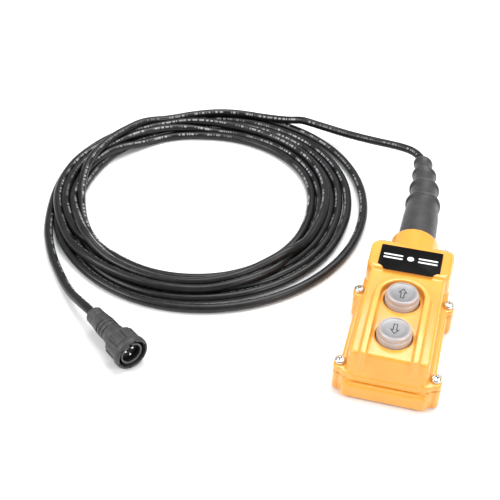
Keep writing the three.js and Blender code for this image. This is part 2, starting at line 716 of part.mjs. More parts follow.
// Saddle that presses the cord down onto the collar inside the housing.
function cordClamp() {
  const bar = softBlock({
    x0: -12, x1: 12, y0: CLAMP_Y0, y1: CLAMP_Y1, z0: BACK_HEIGHT + GAP, z1: CLAMP_TOP_Z,
    corner: 1.5, top: 1,
  });
  const channel = CORD_RADIUS + GAP;
  return cut(bar, [
    box(-channel, channel, CLAMP_Y0 - 1, CLAMP_Y1 + 1, BACK_HEIGHT, CORD_AXIS_Z),
    cylinderY(CORD_RADIUS + GAP, CLAMP_Y0 - 1, CLAMP_Y1 + 1, CORD_AXIS_Z, POST_ROUND),
    ...clampScrewPlaces.map(([x, y]) => cylinderZ(
      BLOCK_SCREW_RADIUS + GAP, BACK_HEIGHT, CLAMP_TOP_Z + 1, x, y, SMALL_ROUND)),
  ]);
}

function placeCordEntry() {
  add("cable_boot", bootShape(), blackRubber());
  add("cable_core", cordCore(), cordJacket());
  add("cable_clamp", cordClamp(), blockPlastic());
  clampScrewPlaces.forEach(([x, y], index) => {
    const screw = add(`clamp_screw_${index + 1}`, panScrew(2.3, BLOCK_SCREW_RADIUS, 14), screwSteel());
    screw.position.set(x, y, CLAMP_TOP_Z + GAP);
    screw.rotation.z = 0.4 + index;
  });
}

// Three cores fan out from the cut end of the cord over the switch block.
function placeWires() {
  const wireZ = BLOCK_TOP_Z + 1.9;
  const start = CORE_START_Y - 0.4;
  const bend = CORE_START_Y - 11;
  const between = (UP_Y + DOWN_Y) / 2 - 0.5;
  const routes = [
    [[-1.6, start, CORD_AXIS_Z], [-7, bend, 21], [-17.5, UP_Y + 14.9, wireZ], [-18.6, UP_Y + 1, wireZ]],
    [[1.6, start, CORD_AXIS_Z], [7, bend, 21], [17.5, UP_Y + 14.9, wireZ], [18.6, UP_Y + 1, wireZ]],
    [[0, start, CORD_AXIS_Z + 2], [-3, bend, wireZ], [-10.4, UP_Y + 12.9, wireZ],
      [-10.6, between, wireZ], [-11.3, DOWN_Y + 1, wireZ]],
  ];
  routes.forEach((route, index) => {
    const points = route.map(([x, y, z]) => new THREE.Vector3(x, y, z));
    add(`wire_${index + 1}`, tube(points, 0.9, 6, 14), wireJackets[index]());
  });
}

// ---------------------------------------------------------------- free cord

function placeCord() {
  const lead = [
    [drift(TIP_Y), TIP_Y + GAP, CORD_AXIS_Z],
    [-10.4, TIP_Y + 7, 19.3],
    [-18, TIP_Y + 14.5, 18.6],
    [-34, TIP_Y + 20.5, 17],
    [-66, TIP_Y + 31, 12],
    [-98, TIP_Y + 43, 8],
    [-121, TIP_Y + 52.8, 5.5],
  ];
  const low = CORD_RADIUS + 0.15;
  const tail = [
    [-266.6, COIL_CENTRE.y - 80.2, low],
    [-258, COIL_CENTRE.y - 94, low],
    [-247, COIL_CENTRE.y - 108, low],
    [-236, COIL_CENTRE.y - 121, low + 0.5],
    [-225, COIL_CENTRE.y - 132.5, low + 2.8],
    [-212, COIL_CENTRE.y - 143.6, low + 7],
  ];
  const axis = connectorAxis();
  const end = CONNECTOR_START.clone().addScaledVector(axis, -GAP);
  const vectors = (route) => route.map(([x, y, z]) => new THREE.Vector3(x, y, z));
  add("cable_lead", tube(vectors(lead), CORD_RADIUS, 10, 12), cordJacket());
  add("cable_tail", tube([...vectors(tail), end], CORD_RADIUS, 10, 10), cordJacket());
  const coil = turnedRing([
    [COIL_INNER, 0],
    [COIL_OUTER, 0],
    [COIL_OUTER, COIL_HEIGHT - 2],
    [COIL_OUTER - 4, COIL_HEIGHT],
    [COIL_INNER + 4, COIL_HEIGHT],
    [COIL_INNER, COIL_HEIGHT - 2],
  ], 36);
  coil.translate(COIL_CENTRE.x, COIL_CENTRE.y, 0.05);
  add("cable_coil", coil, cordJacket());
}

// ---------------------------------------------------------------- connector

function connectorAxis() {
  const turn = THREE.MathUtils.degToRad(CONNECTOR_ANGLE);
  return new THREE.Vector3(Math.cos(turn), Math.sin(turn), 0);
}

const GRIP_LENGTH = 30.5;
const NECK_RADIUS = 5.8;
const NUT_START = GRIP_LENGTH + GAP;
const NUT_LENGTH = 17;
const NUT_BORE = 9.9;
const NUT_LIP = 1.6;
const INSERT_START = GRIP_LENGTH + 2.8;
const SOCKET_RADIUS = 6.9;
const SLEEVE_RADIUS = 8.4;
const SLEEVE_END = NUT_START + NUT_LENGTH - 1.2;
const PIN_RADIUS = 1;
const PIN_CIRCLE = 3.05;
const PIN_TURN = 37;                 // degrees from level to the first pin
const PIN_DEPTH = 2.6;               // pin tips behind the sleeve's front ring

// Moulded grip with a tapered tail, three grip grooves and a neck for the nut.
function gripShape() {
  const bore = CORD_RADIUS + GAP;
  return turnedRing([
    [bore, 0],
    [6, 0],
    [6.5, 0.8],
    [6.6, 6],
    [7.2, 12],
    ...[14.5, 18, 21.5].flatMap((start) => [
      [7.3, start],
      [6.6, start + 0.5],
      [6.6, start + 1.2],
      [7.4, start + 1.7],
    ]),
    [GRIP_RADIUS, GRIP_LENGTH - 3],
    [GRIP_RADIUS, GRIP_LENGTH],
    [NECK_RADIUS, GRIP_LENGTH],
    [NECK_RADIUS, INSERT_START - GAP],
    [bore, INSERT_START - GAP],
  ], 18);
}

// Hand nut: broad ribs, a plain front flange and an inner lip that keeps it on the neck.
function nutShape() {
  const ribs = 12;
  const outline = new THREE.Shape();
  for (let i = 0; i < ribs; i += 1) {
    const start = i / ribs * Math.PI * 2;
    const step = Math.PI * 2 / ribs;
    const corners = [[0.04, 11], [0.2, 11.5], [0.8, 11.5], [0.96, 11]];
    corners.forEach(([along, radius], index) => {
      const angle = start + along * step;
      const x = radius * Math.cos(angle);
      const y = radius * Math.sin(angle);
      if (i === 0 && index === 0) outline.moveTo(x, y);
      else outline.lineTo(x, y);
    });
  }
  outline.closePath();
  const barrel = new THREE.ExtrudeGeometry(outline, { depth: NUT_LENGTH - 5, bevelEnabled: false });
  barrel.translate(0, 0, NUT_START + 1);
  const flange = turned([
    [0, NUT_START + NUT_LENGTH - 5.2],
    [11.2, NUT_START + NUT_LENGTH - 5.2],
    [NUT_RADIUS, NUT_START + NUT_LENGTH - 4.2],
    [NUT_RADIUS, NUT_START + NUT_LENGTH - 1.4],
    [NUT_RADIUS - 1.1, NUT_START + NUT_LENGTH],
    [0, NUT_START + NUT_LENGTH],
  ], 24);
  const back = cylinderZ(10, NUT_START, NUT_START + 2, 0, 0, 24);
  return cut(join([barrel, flange, back]), [
    cylinderZ(NUT_BORE, NUT_START + NUT_LIP, NUT_START + NUT_LENGTH + 1, 0, 0, 24),
    cylinderZ(NECK_RADIUS + GAP, NUT_START - 1, NUT_START + NUT_LIP + 1, 0, 0, 18),
  ]);
}

// Insulating insert: a disc that carries the pins and the keyed sleeve around them.
function insertShape() {
  const sleeve = turned([
    [0, INSERT_START],
    [NUT_BORE - 1, INSERT_START],
    [NUT_BORE - 1, INSERT_START + 3],
    [SLEEVE_RADIUS, INSERT_START + 3],
    [SLEEVE_RADIUS, SLEEVE_END - 0.4],
    [SLEEVE_RADIUS - 0.4, SLEEVE_END],
    [SOCKET_RADIUS, SLEEVE_END],
    [SOCKET_RADIUS, INSERT_START + 6],
    [0, INSERT_START + 6],
  ], 20);
  return cut(sleeve, [
    ...pinPlaces().map(([x, y]) => cylinderZ(
      PIN_RADIUS + GAP, INSERT_START - 1, INSERT_START + 7, x, y, SMALL_ROUND)),
    box(-1.1, 1.1, SOCKET_RADIUS - 0.5, SLEEVE_RADIUS + 1, SLEEVE_END - 6, SLEEVE_END + 1),
  ]);
}

function pinPlaces() {
  return [0, 1, 2].map((i) => {
    const angle = THREE.MathUtils.degToRad(PIN_TURN + i * 120);
    return [PIN_CIRCLE * Math.cos(angle), PIN_CIRCLE * Math.sin(angle)];
  });
}

function pinShape() {
  const start = INSERT_START + 0.4;
  const tip = SLEEVE_END - PIN_DEPTH;
  return turned([
    [0, start],
    [PIN_RADIUS, start],
    [PIN_RADIUS, tip - 0.8],
    [PIN_RADIUS * 0.5, tip],
    [0, tip],
  ], SMALL_ROUND);
}

function placeConnector() {
  const connector = new THREE.Group();
  connector.position.copy(CONNECTOR_START);
  const side = new THREE.Vector3(0, 0, 1).cross(connectorAxis());
  connector.quaternion.setFromRotationMatrix(new THREE.Matrix4().makeBasis(
    side, new THREE.Vector3(0, 0, 1), connectorAxis()));
  assembly.add(connector);
  add("connector_grip", gripShape(), connectorPlastic(), connector);
  add("coupling_nut", nutShape(), connectorPlastic(), connector);
  add("connector_insert", insertShape(), connectorPlastic(), connector);
  pinPlaces().forEach(([x, y], index) => {
    const pin = add(`connector_pin_${index + 1}`, pinShape(), brass(), connector);
    pin.position.set(x, y, 0);
  });
  const seal = turnedRing([
    [SLEEVE_RADIUS + GAP, INSERT_START + 3.3],
    [NUT_BORE - GAP, INSERT_START + 3.3],
    [NUT_BORE - GAP, INSERT_START + 5],
    [SLEEVE_RADIUS + GAP, INSERT_START + 5],
  ], 24);
  add("connector_seal", seal, blackRubber(), connector);
}

// ---------------------------------------------------------------- assembly

add("rear_housing", rearHousing(), yellowPlastic());
add("housing_gasket", gasket(), blackRubber());
add("front_cover", frontCover(), yellowPlastic());
add("label_plate", labelPlate(), labelPlastic());
placeScrews();
placeButton("button_up", UP_Y);
placeButton("button_down", DOWN_Y);
placeSwitchBlock();
placeCordEntry();
placeWires();
placeCord();
placeConnector();

export default assembly;
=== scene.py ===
# %% [markdown]
# A hand-held pendant control station: a yellow two-button case, a ribbed rubber boot, about
# five metres of black cable in a loose coil, and a round three-pin plug at its far end.
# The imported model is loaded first. It is the frame that every piece below is placed in, in
# metres: the case lies on its back, +Z comes out through the buttons and +Y runs to the cable.

import json
import math

import bmesh
import bpy
import numpy as np
from mathutils import Matrix, Vector


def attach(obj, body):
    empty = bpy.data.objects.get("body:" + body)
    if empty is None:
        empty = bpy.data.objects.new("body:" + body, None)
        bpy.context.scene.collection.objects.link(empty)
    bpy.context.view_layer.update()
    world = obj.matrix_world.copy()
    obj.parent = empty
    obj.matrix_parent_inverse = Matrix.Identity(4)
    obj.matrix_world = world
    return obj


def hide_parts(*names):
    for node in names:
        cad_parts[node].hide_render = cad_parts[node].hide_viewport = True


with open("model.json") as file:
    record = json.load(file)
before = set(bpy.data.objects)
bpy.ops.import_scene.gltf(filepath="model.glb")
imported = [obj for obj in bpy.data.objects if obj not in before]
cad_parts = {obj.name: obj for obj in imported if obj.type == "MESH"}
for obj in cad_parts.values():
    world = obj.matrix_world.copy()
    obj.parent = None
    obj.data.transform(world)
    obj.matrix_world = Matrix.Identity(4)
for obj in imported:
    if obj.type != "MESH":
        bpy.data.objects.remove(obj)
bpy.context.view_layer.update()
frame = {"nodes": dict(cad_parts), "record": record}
MM = 0.001

# %% [markdown]
# The camera stands in front of the bumper, a little to the right, and looks down at the case
# and the coil behind it. It could be aimed with a Track To constraint, but two plain angles
# are easier to read: how far it is turned, and how far it is tipped down.

# %% Camera
CAMERA_PLACE = Vector((22.6, -515.4, 462.6)) * MM
CAMERA_TURN = math.radians(15.3)
CAMERA_DIP = math.radians(40.75)
CAMERA_LENS = 68.4

bpy.ops.object.camera_add(
    location=CAMERA_PLACE,
    rotation=(math.pi / 2 - CAMERA_DIP, 0, CAMERA_TURN),
)
camera = bpy.context.object
camera.name = "camera"
camera.data.lens = CAMERA_LENS
camera.data.clip_start = 0.01
bpy.context.scene.camera = camera
print("camera at", tuple(round(v, 3) for v in camera.location))

# %% [markdown]
# The cable is one length of flexible cord. It leaves the boot level, sinks to the table, goes
# seven and a bit times round a loose coil and ends in the plug. Every turn could be drawn by
# hand, but real turns lie on each other because they push each other aside, so here each turn
# only gets a rough radius and layer at the four quarters of the coil, and a short settling
# loop then presses the turns down and apart until none runs through another.

# %% Cable route
CORD_RADIUS = 3.25
CORD = 2 * CORD_RADIUS * MM
COIL_CENTRE = (-164, 50)
LEAD = [
    (-6.7, 113, 19.5), (-8.2, 120.5, 19.5), (-11.1, 127.7, 19.3), (-17.3, 134.9, 18.8),
    (-26, 139.6, 17.9), (-37, 143.2, 16.7), (-51, 147, 15.2), (-66, 151.2, 13.9),
    (-82, 155.8, 13.1), (-98, 160.2, 13), (-114, 164, 13.3), (-130, 166.9, 13.8),
]
# Each turn's radius and layer at the far side, the left, the near side and the right.
TURNS = [
    ((118.5, 1.7), (106.5, 2), (97, 1), (79.5, 0)),
    ((87, 0), (109.3, 1), (106, 1), (90, 1)),
    ((97, 1), (122.2, 1), (112.5, 1), (86.3, 0)),
    ((93.5, 0), (115.7, 1), (101, 0), (93.5, 0)),
    ((101, 0), (106, 0), (107.6, 0), (100.2, 0)),
    ((107.8, 0), (112.5, 0), (115.5, 0), (107.4, 0)),
    ((114.8, 0), (119, 0), (125, 0), (120.5, 0)),
    ((122, 0), (125.6, 0)),
]
LAYER = 5.7
# Each quarter turn starts this much lower than the one before it.
QUARTER_DROP = 0.1
TAIL = [
    (-275.5, -11, 3.4), (-266.6, -30.2, 3.4), (-258, -44, 3.4), (-247, -58, 3.4),
    (-236, -71, 3.9), (-225, -82.5, 6.2), (-212, -93.6, 10.4), (-200.4, -102, 12.1),
    (-194.7, -106.2, 12.1),
]
STEP = 6.5
HELD_TAIL_POINTS = 14
# The settling: how far apart two strands stay, the lowest place of the cable's middle, and
# what each of the rounds does. Points within a few places of each other don't push.
STRAND_GAP = 6.85
LOWEST = 3.27
SETTLE_ROUNDS = 170
SINK = 0.1
SMOOTHING = 0.32
HOME_PULL = 0.06
PUSH_SHARE = 0.3
STRETCH_SHARE = 0.45
NEIGHBOURS = 3


def evenly(points, step):
    """Points a step apart along a smooth curve through the given ones."""
    points = np.array(points, float)
    fine = []
    for i in range(len(points) - 1):
        p0 = points[max(i - 1, 0)]
        p1, p2 = points[i], points[i + 1]
        p3 = points[min(i + 2, len(points) - 1)]
        for t in np.linspace(0, 1, 12, endpoint=False):
            fine.append(0.5 * (2 * p1 + (p2 - p0) * t + (2 * p0 - 5 * p1 + 4 * p2 - p3) * t**2
                               + (3 * p1 - p0 - 3 * p2 + p3) * t**3))
    fine.append(points[-1])
    fine = np.array(fine)
    along = np.concatenate([[0], np.cumsum(np.linalg.norm(np.diff(fine, axis=0), axis=1))])
    marks = np.linspace(0, along[-1], int(round(along[-1] / step)) + 1)
    return np.stack([np.interp(marks, along, fine[:, i]) for i in range(3)], axis=1)


def rough_coil():
    """The coil's turns before they settle: the first one lies on top of all the others."""
    quarters = np.array([place for turn in TURNS for place in turn])
    last = len(quarters) - 1
    points = []
    for i in np.arange(-0.05, last + 0.01, 1 / 6):
        angle = math.radians(90 + 90 * i)
        radius, layer = (float(np.interp(i, range(last + 1), column)) for column in quarters.T)
        height = CORD_RADIUS + LAYER * layer + QUARTER_DROP * (last - i)
        points.append((COIL_CENTRE[0] + radius * math.cos(angle),
                       COIL_CENTRE[1] + radius * math.sin(angle), height))
    return points


def settle(points, held):
    """Lets the cord sink to the table while its turns keep a diameter apart."""
    rest = np.linalg.norm(np.diff(points, axis=0), axis=1)
    count = len(points)
    index = np.arange(count)
    free = np.ones(count)
    free[held] = 0
    home = points[:, :2].copy()
    for _ in range(SETTLE_ROUNDS):
        points[:, 2] -= SINK * free
        halfway = (points[:-2] + points[2:]) / 2
        points[1:-1] += SMOOTHING * (halfway - points[1:-1]) * free[1:-1, None]
        points[:, :2] += HOME_PULL * (home - points[:, :2]) * free[:, None]
        for _ in range(2):
            gap = points[:, None, :] - points[None, :, :]
            far = np.sqrt((gap**2).sum(axis=2)) + 1e-9
            near = (far < STRAND_GAP) & (np.abs(index[:, None] - index[None, :]) > NEIGHBOURS)
            a, b = np.nonzero(np.triu(near))
            depth = (STRAND_GAP - far[a, b]) * PUSH_SHARE
            push = (gap[a, b] / far[a, b, None]) * depth[:, None]
            np.add.at(points, a, push * free[a, None])
            np.add.at(points, b, -push * free[b, None])
            points[:, 2] = np.maximum(points[:, 2], LOWEST)
        span = np.diff(points, axis=0)
        length = np.linalg.norm(span, axis=1)
        move = span * ((length - rest) / length * STRETCH_SHARE)[:, None]
        points[:-1] += move * free[:-1, None]
        points[1:] -= move * free[1:, None]
    return points


route = evenly([*LEAD, *rough_coil(), *TAIL], STEP)
lead_count = int(round(np.linalg.norm(np.diff(np.array(LEAD), axis=0), axis=1).sum() / STEP))
held = np.r_[0:lead_count - 1, len(route) - HELD_TAIL_POINTS:len(route)]
route = settle(route, held)

# %% Cable piece
def hold(piece):
    """Makes a piece the only selected one, and the active one."""
    bpy.ops.object.select_all(action="DESELECT")
    piece.select_set(True)
    bpy.context.view_layer.objects.active = piece


def cord_piece(name, points, diameter):
    """One round cord along a smooth curve through the points, in millimetres."""
    data = bpy.data.curves.new(name, "CURVE")
    data.dimensions = "3D"
    data.bevel_depth = diameter / 2
    data.bevel_resolution = 5
    data.resolution_u = 3
    data.use_fill_caps = True
    spline = data.splines.new("NURBS")
    spline.points.add(len(points) - 1)
    for point, place in zip(spline.points, points):
        point.co = (*(Vector(place) * MM), 1)
    spline.order_u = 4
    spline.use_endpoint_u = True
    piece = bpy.data.objects.new(name, data)
    bpy.context.collection.objects.link(piece)
    hold(piece)
    bpy.ops.object.convert(target="MESH")
    bpy.ops.object.shade_smooth()
    return bpy.context.object


cable = cord_piece("cable", route, CORD)
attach(cable, "case")
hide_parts("cable_lead", "cable_coil", "cable_tail")
print("cable piece made")

# %% [markdown]
# The station lies on a plain pale table under large soft lamps. A sky texture would light it
# too, but big area lamps give the long soft highlights that glossy moulded plastic shows.

# %% Stage and light
bpy.ops.mesh.primitive_plane_add(size=8, location=(0, 0, 0))
table = bpy.context.object
table.name = "table"
table_look = bpy.data.materials.new("table_paper")
table_look.use_nodes = True
table_shader = table_look.node_tree.nodes["Principled BSDF"]
table_shader.inputs["Base Color"].default_value = (0.93, 0.93, 0.93, 1)
table_shader.inputs["Roughness"].default_value = 0.9
table.data.materials.append(table_look)


def lamp(name, place, aim, size, power):
    """A square soft lamp that points at a place."""
    bpy.ops.object.light_add(type="AREA", location=place)
    made = bpy.context.object
    made.name = name
    made.data.size = size
    made.data.energy = power
    made.rotation_euler = (Vector(aim) - Vector(place)).to_track_quat("-Z", "Y").to_euler()


SCENE_MIDDLE = (-0.08, 0, 0)
lamp("lamp_over", (0.1, 0.55, 1.5), SCENE_MIDDLE, 1.2, 27)
lamp("lamp_left", (-1.2, -0.6, 1.0), SCENE_MIDDLE, 0.8, 14)
lamp("lamp_right", (1.1, -0.5, 0.8), (0, 0, 0), 0.5, 9)

world = bpy.data.worlds.new("studio")
bpy.context.scene.world = world
world.use_nodes = True
world.node_tree.nodes["Background"].inputs["Color"].default_value = (1, 1, 1, 1)
world.node_tree.nodes["Background"].inputs["Strength"].default_value = 0.5
bpy.context.scene.view_settings.view_transform = "Standard"
print("stage and lamps made")

# %% [markdown]
# Every finish is a small node tree on the Principled shader. One flat colour would look like
# a drawing: real mouldings differ a little in colour, gloss and height from place to place.
# So a finish starts from a soft cloud and a fine grain, both read from Object coordinates.

# %% Finish tools
def new_look(name):
    """A material with its node tree and its shader."""
    look = bpy.data.materials.new(name)
    look.use_nodes = True
    return look, look.node_tree, look.node_tree.nodes["Principled BSDF"]


def grain_of(tree, size, detail, stretch=(1, 1, 1)):
    """A noise whose blobs are about that many millimetres across."""
    place_node = tree.nodes.new("ShaderNodeTexCoord")
    turn = tree.nodes.new("ShaderNodeMapping")
    turn.inputs["Scale"].default_value = stretch
    noise = tree.nodes.new("ShaderNodeTexNoise")
    noise.inputs["Scale"].default_value = 1 / (size * MM)
    noise.inputs["Detail"].default_value = detail
    tree.links.new(place_node.outputs["Object"], turn.inputs["Vector"])
    tree.links.new(turn.outputs["Vector"], noise.inputs["Vector"])
    return noise.outputs["Fac"]


def spread(tree, factor, low, high, start=0.3, end=0.7):
    """Stretches a noise from one number to another."""
    node = tree.nodes.new("ShaderNodeMapRange")
    node.inputs["From Min"].default_value = start
    node.inputs["From Max"].default_value = end
    node.inputs["To Min"].default_value = low
    node.inputs["To Max"].default_value = high
    tree.links.new(factor, node.inputs["Value"])
    return node.outputs["Result"]


def blend_colours(tree, factor, first, second):
    """Mixes two colours, each a tuple or a socket, by a factor."""
    node = tree.nodes.new("ShaderNodeMix")
    node.data_type = "RGBA"
    for socket, colour in ((node.inputs[6], first), (node.inputs[7], second)):
        if isinstance(colour, tuple):
            socket.default_value = (*colour, 1)
        else:
            tree.links.new(colour, socket)
    tree.links.new(factor, node.inputs[0])
    return node.outputs[2]


def bump(tree, shader, height, depth, under=None):
    """Raises the surface by a height map, depth in millimetres."""
    node = tree.nodes.new("ShaderNodeBump")
    node.inputs["Strength"].default_value = 1.0
    node.inputs["Distance"].default_value = depth * MM
    tree.links.new(height, node.inputs["Height"])
    if under is not None:
        tree.links.new(under, node.inputs["Normal"])
    tree.links.new(node.outputs["Normal"], shader.inputs["Normal"])
    return node.outputs["Normal"]


def plastic_look(name, pale, deep, gloss=(0.18, 0.3), relief=0.02):
    """A moulded plastic: two shades in a soft cloud, faint flow grain and handling marks."""
    look, tree, shader = new_look(name)
    cloud = grain_of(tree, 28, 2.0)
    speck = grain_of(tree, 0.9, 2.0)
    colour = blend_colours(tree, spread(tree, cloud, 0, 1), deep, pale)
    darker = tuple(0.82 * channel for channel in deep)
    colour = blend_colours(tree, spread(tree, speck, 0, 0.18, 0.55, 0.8), colour, darker)
    tree.links.new(colour, shader.inputs["Base Color"])
    rubbed = grain_of(tree, 9, 6.0, (1, 0.35, 1))
    tree.links.new(spread(tree, rubbed, gloss[0], gloss[1]), shader.inputs["Roughness"])
    first = bump(tree, shader, grain_of(tree, 5.5, 1.0), relief * 2.2)
    bump(tree, shader, grain_of(tree, 0.6, 2.0), relief, under=first)
    return look, tree, shader


def rubber_look(name, pale, deep, gloss=(0.5, 0.68), relief=0.03):
    """A black rubber: dusty high spots over a dark body, with a fine leathery skin."""
    look, tree, shader = new_look(name)
    dust = grain_of(tree, 7, 6.0)
    colour = blend_colours(tree, spread(tree, dust, 0, 1, 0.4, 0.72), deep, pale)
    tree.links.new(colour, shader.inputs["Base Color"])
    tree.links.new(spread(tree, grain_of(tree, 3, 5.0), gloss[0], gloss[1]),
                   shader.inputs["Roughness"])
    first = bump(tree, shader, grain_of(tree, 2.6, 2.0), relief * 1.5)
    bump(tree, shader, grain_of(tree, 0.35, 3.0), relief, under=first)
    return look, tree, shader


def metal_look(name, colour, gloss, relief=0.006):
    """A plated or drawn metal: cloudy plating and fine tool marks."""
    look, tree, shader = new_look(name)
    shader.inputs["Metallic"].default_value = 1.0
    cloud = spread(tree, grain_of(tree, 2.5, 4.0), 0, 1)
    darker = tuple(0.72 * channel for channel in colour)
    tree.links.new(blend_colours(tree, cloud, darker, colour), shader.inputs["Base Color"])
    tree.links.new(spread(tree, grain_of(tree, 0.5, 4.0), gloss[0], gloss[1]),
                   shader.inputs["Roughness"])
    bump(tree, shader, grain_of(tree, 0.22, 3.0), relief)
    return look, tree, shader


# %% [markdown]
# The case is a glossy yellow-orange plastic, warmer in the shade. The boot, the plug and the
# seals are black rubber and plastic that collect a little dust. A thin clear coat over the
# case colour gives the sharp highlights on its edges without making the flats look wet.

# %% Finishes of the case and the small parts
case_yellow, _, case_shader = plastic_look(
    "case_yellow", (0.86, 0.395, 0.055), (0.82, 0.34, 0.038), (0.17, 0.27), 0.003)
case_shader.inputs["Coat Weight"].default_value = 0.35
case_shader.inputs["Coat Roughness"].default_value = 0.06
case_shader.inputs["Subsurface Weight"].default_value = 0.12
case_shader.inputs["Subsurface Radius"].default_value = (0.004, 0.0018, 0.0005)
case_shader.inputs["Subsurface Scale"].default_value = 0.6

boot_rubber, _, boot_shader = rubber_look(
    "boot_rubber", (0.036, 0.035, 0.036), (0.019, 0.0185, 0.0195), (0.38, 0.54), 0.03)
boot_shader.inputs["Sheen Weight"].default_value = 0.12
seal_rubber, _, _ = rubber_look("seal_rubber", (0.03, 0.03, 0.03), (0.012, 0.012, 0.012))
plug_plastic, _, plug_shader = rubber_look(
    "plug_plastic", (0.05, 0.0495, 0.051), (0.03, 0.03, 0.031), (0.4, 0.56), 0.02)
dark_plastic, _, _ = plastic_look(
    "dark_plastic", (0.03, 0.03, 0.032), (0.018, 0.018, 0.02), (0.35, 0.5), 0.02)
label_black, _, label_shader = plastic_look(
    "label_black", (0.004, 0.0034, 0.0034), (0.002, 0.002, 0.002), (0.36, 0.48), 0.004)
label_shader.inputs["Specular IOR Level"].default_value = 0.06
label_white, _, _ = plastic_look(
    "label_white", (0.85, 0.85, 0.85), (0.78, 0.78, 0.78), (0.35, 0.45), 0.004)
acetal, _, _ = plastic_look("acetal", (0.72, 0.7, 0.64), (0.62, 0.6, 0.54), (0.35, 0.5))
screw_steel, _, _ = metal_look("screw_steel", (0.8, 0.79, 0.76), (0.16, 0.34))
spring_steel, _, _ = metal_look("spring_steel", (0.62, 0.62, 0.62), (0.2, 0.35))
contact_brass, _, _ = metal_look("contact_brass", (0.82, 0.62, 0.3), (0.2, 0.4))
pin_plating, _, _ = metal_look("pin_plating", (0.92, 0.88, 0.8), (0.12, 0.22), 0.003)
print("finishes ready")

# %% [markdown]
# The cable's jacket is satin black with a faint pale print along one side. The print is not
# words: it is a row of irregular short ticks that fades in and out. It follows the cable, so
# it reads the cable's own UV map, where U runs along the length and V runs round it.

# %% Cable finish
cable_jacket, cord_tree, cord_shader = rubber_look(
    "cable_jacket", (0.012, 0.012, 0.013), (0.005, 0.005, 0.0056), (0.27, 0.38), 0.01)
cord_shader.inputs["Specular IOR Level"].default_value = 0.36
uv_node = cord_tree.nodes.new("ShaderNodeTexCoord")
split = cord_tree.nodes.new("ShaderNodeSeparateXYZ")
cord_tree.links.new(uv_node.outputs["UV"], split.inputs["Vector"])


def math_node(tree, operation, first, second=None):
    """One arithmetic node; its inputs are sockets or numbers."""
    node = tree.nodes.new("ShaderNodeMath")
    node.operation = operation
    for socket, value in zip(node.inputs, (first, second)):
        if value is None:
            continue
        if isinstance(value, (int, float)):
            socket.default_value = value
        else:
            tree.links.new(value, socket)
    return node.outputs["Value"]


def ticks(tree, along, per_metre, low, high):
    """Noise along the cable alone, squeezed to a mask."""
    row = tree.nodes.new("ShaderNodeCombineXYZ")
    tree.links.new(math_node(tree, "MULTIPLY", along, per_metre * 5.0), row.inputs["X"])
    noise = tree.nodes.new("ShaderNodeTexNoise")
    noise.inputs["Scale"].default_value = 1.0
    noise.inputs["Detail"].default_value = 0.0
    tree.links.new(row.outputs["Vector"], noise.inputs["Vector"])
    return spread(tree, noise.outputs["Fac"], 0, 1, low, high)


# The first three are parts of the way round the cable.
PRINT_SIDE = 0.05
PRINT_HALF = 0.038
PRINT_WANDER = 0.12
PRINT_STRENGTH = 0.8
PRINT_GREY = (0.42, 0.42, 0.43)
along_cable = split.outputs["X"]
wander = ticks(cord_tree, along_cable, 4.0, 0.0, 1.0)
line = math_node(cord_tree, "MULTIPLY_ADD", wander, PRINT_WANDER)
line.node.inputs[2].default_value = PRINT_SIDE - PRINT_WANDER / 2 + 0.5
round_v = math_node(cord_tree, "ADD", split.outputs["Y"], 0.5)
round_v = math_node(cord_tree, "FRACT", round_v)
off_line = math_node(cord_tree, "ABSOLUTE", math_node(cord_tree, "SUBTRACT", round_v, line))
band = math_node(cord_tree, "LESS_THAN", off_line, PRINT_HALF)
strokes = ticks(cord_tree, along_cable, 520, 0.46, 0.52)
words = ticks(cord_tree, along_cable, 90, 0.42, 0.5)
stretches = ticks(cord_tree, along_cable, 9, 0.3, 0.55)
mask = strokes
for factor in (words, stretches, band, PRINT_STRENGTH):
    mask = math_node(cord_tree, "MULTIPLY", mask, factor)
body_colour = cord_shader.inputs["Base Color"].links[0].from_socket
cord_tree.links.new(blend_colours(cord_tree, mask, body_colour, PRINT_GREY),
                    cord_shader.inputs["Base Color"])
cable.data.materials.append(cable_jacket)
print("cable finished")

# %% [markdown]
# Every solid piece below is shaped with the same few hand tools: pick a piece up, select some
# of its faces or edges by where they are, and apply an operator. Picking up is written with the
# cable above; the others follow here.

# %% Hand tools
def pick(piece, kind, test):
    """Enters edit mode with only the VERT, EDGE or FACE elements selected that pass a test."""
    hold(piece)
    bpy.ops.object.mode_set(mode="EDIT")
    bpy.ops.mesh.select_mode(type=kind)
    bpy.ops.mesh.select_all(action="DESELECT")
    mesh = bmesh.from_edit_mesh(piece.data)
    elements = {"VERT": mesh.verts, "EDGE": mesh.edges, "FACE": mesh.faces}[kind]
    for element in elements:
        if test(element):
            element.select_set(True)
    mesh.select_flush_mode()
    bmesh.update_edit_mesh(piece.data)


def put_down():
    """Leaves edit mode."""
    bpy.ops.object.mode_set(mode="OBJECT")


def middle(edge):
    """The middle of an edge."""
    return (edge.verts[0].co + edge.verts[1].co) / 2


def upright(edge):
    """True for an edge that runs mostly up and down."""
    way = edge.verts[1].co - edge.verts[0].co
    return abs(way.z) > 0.5 * way.length


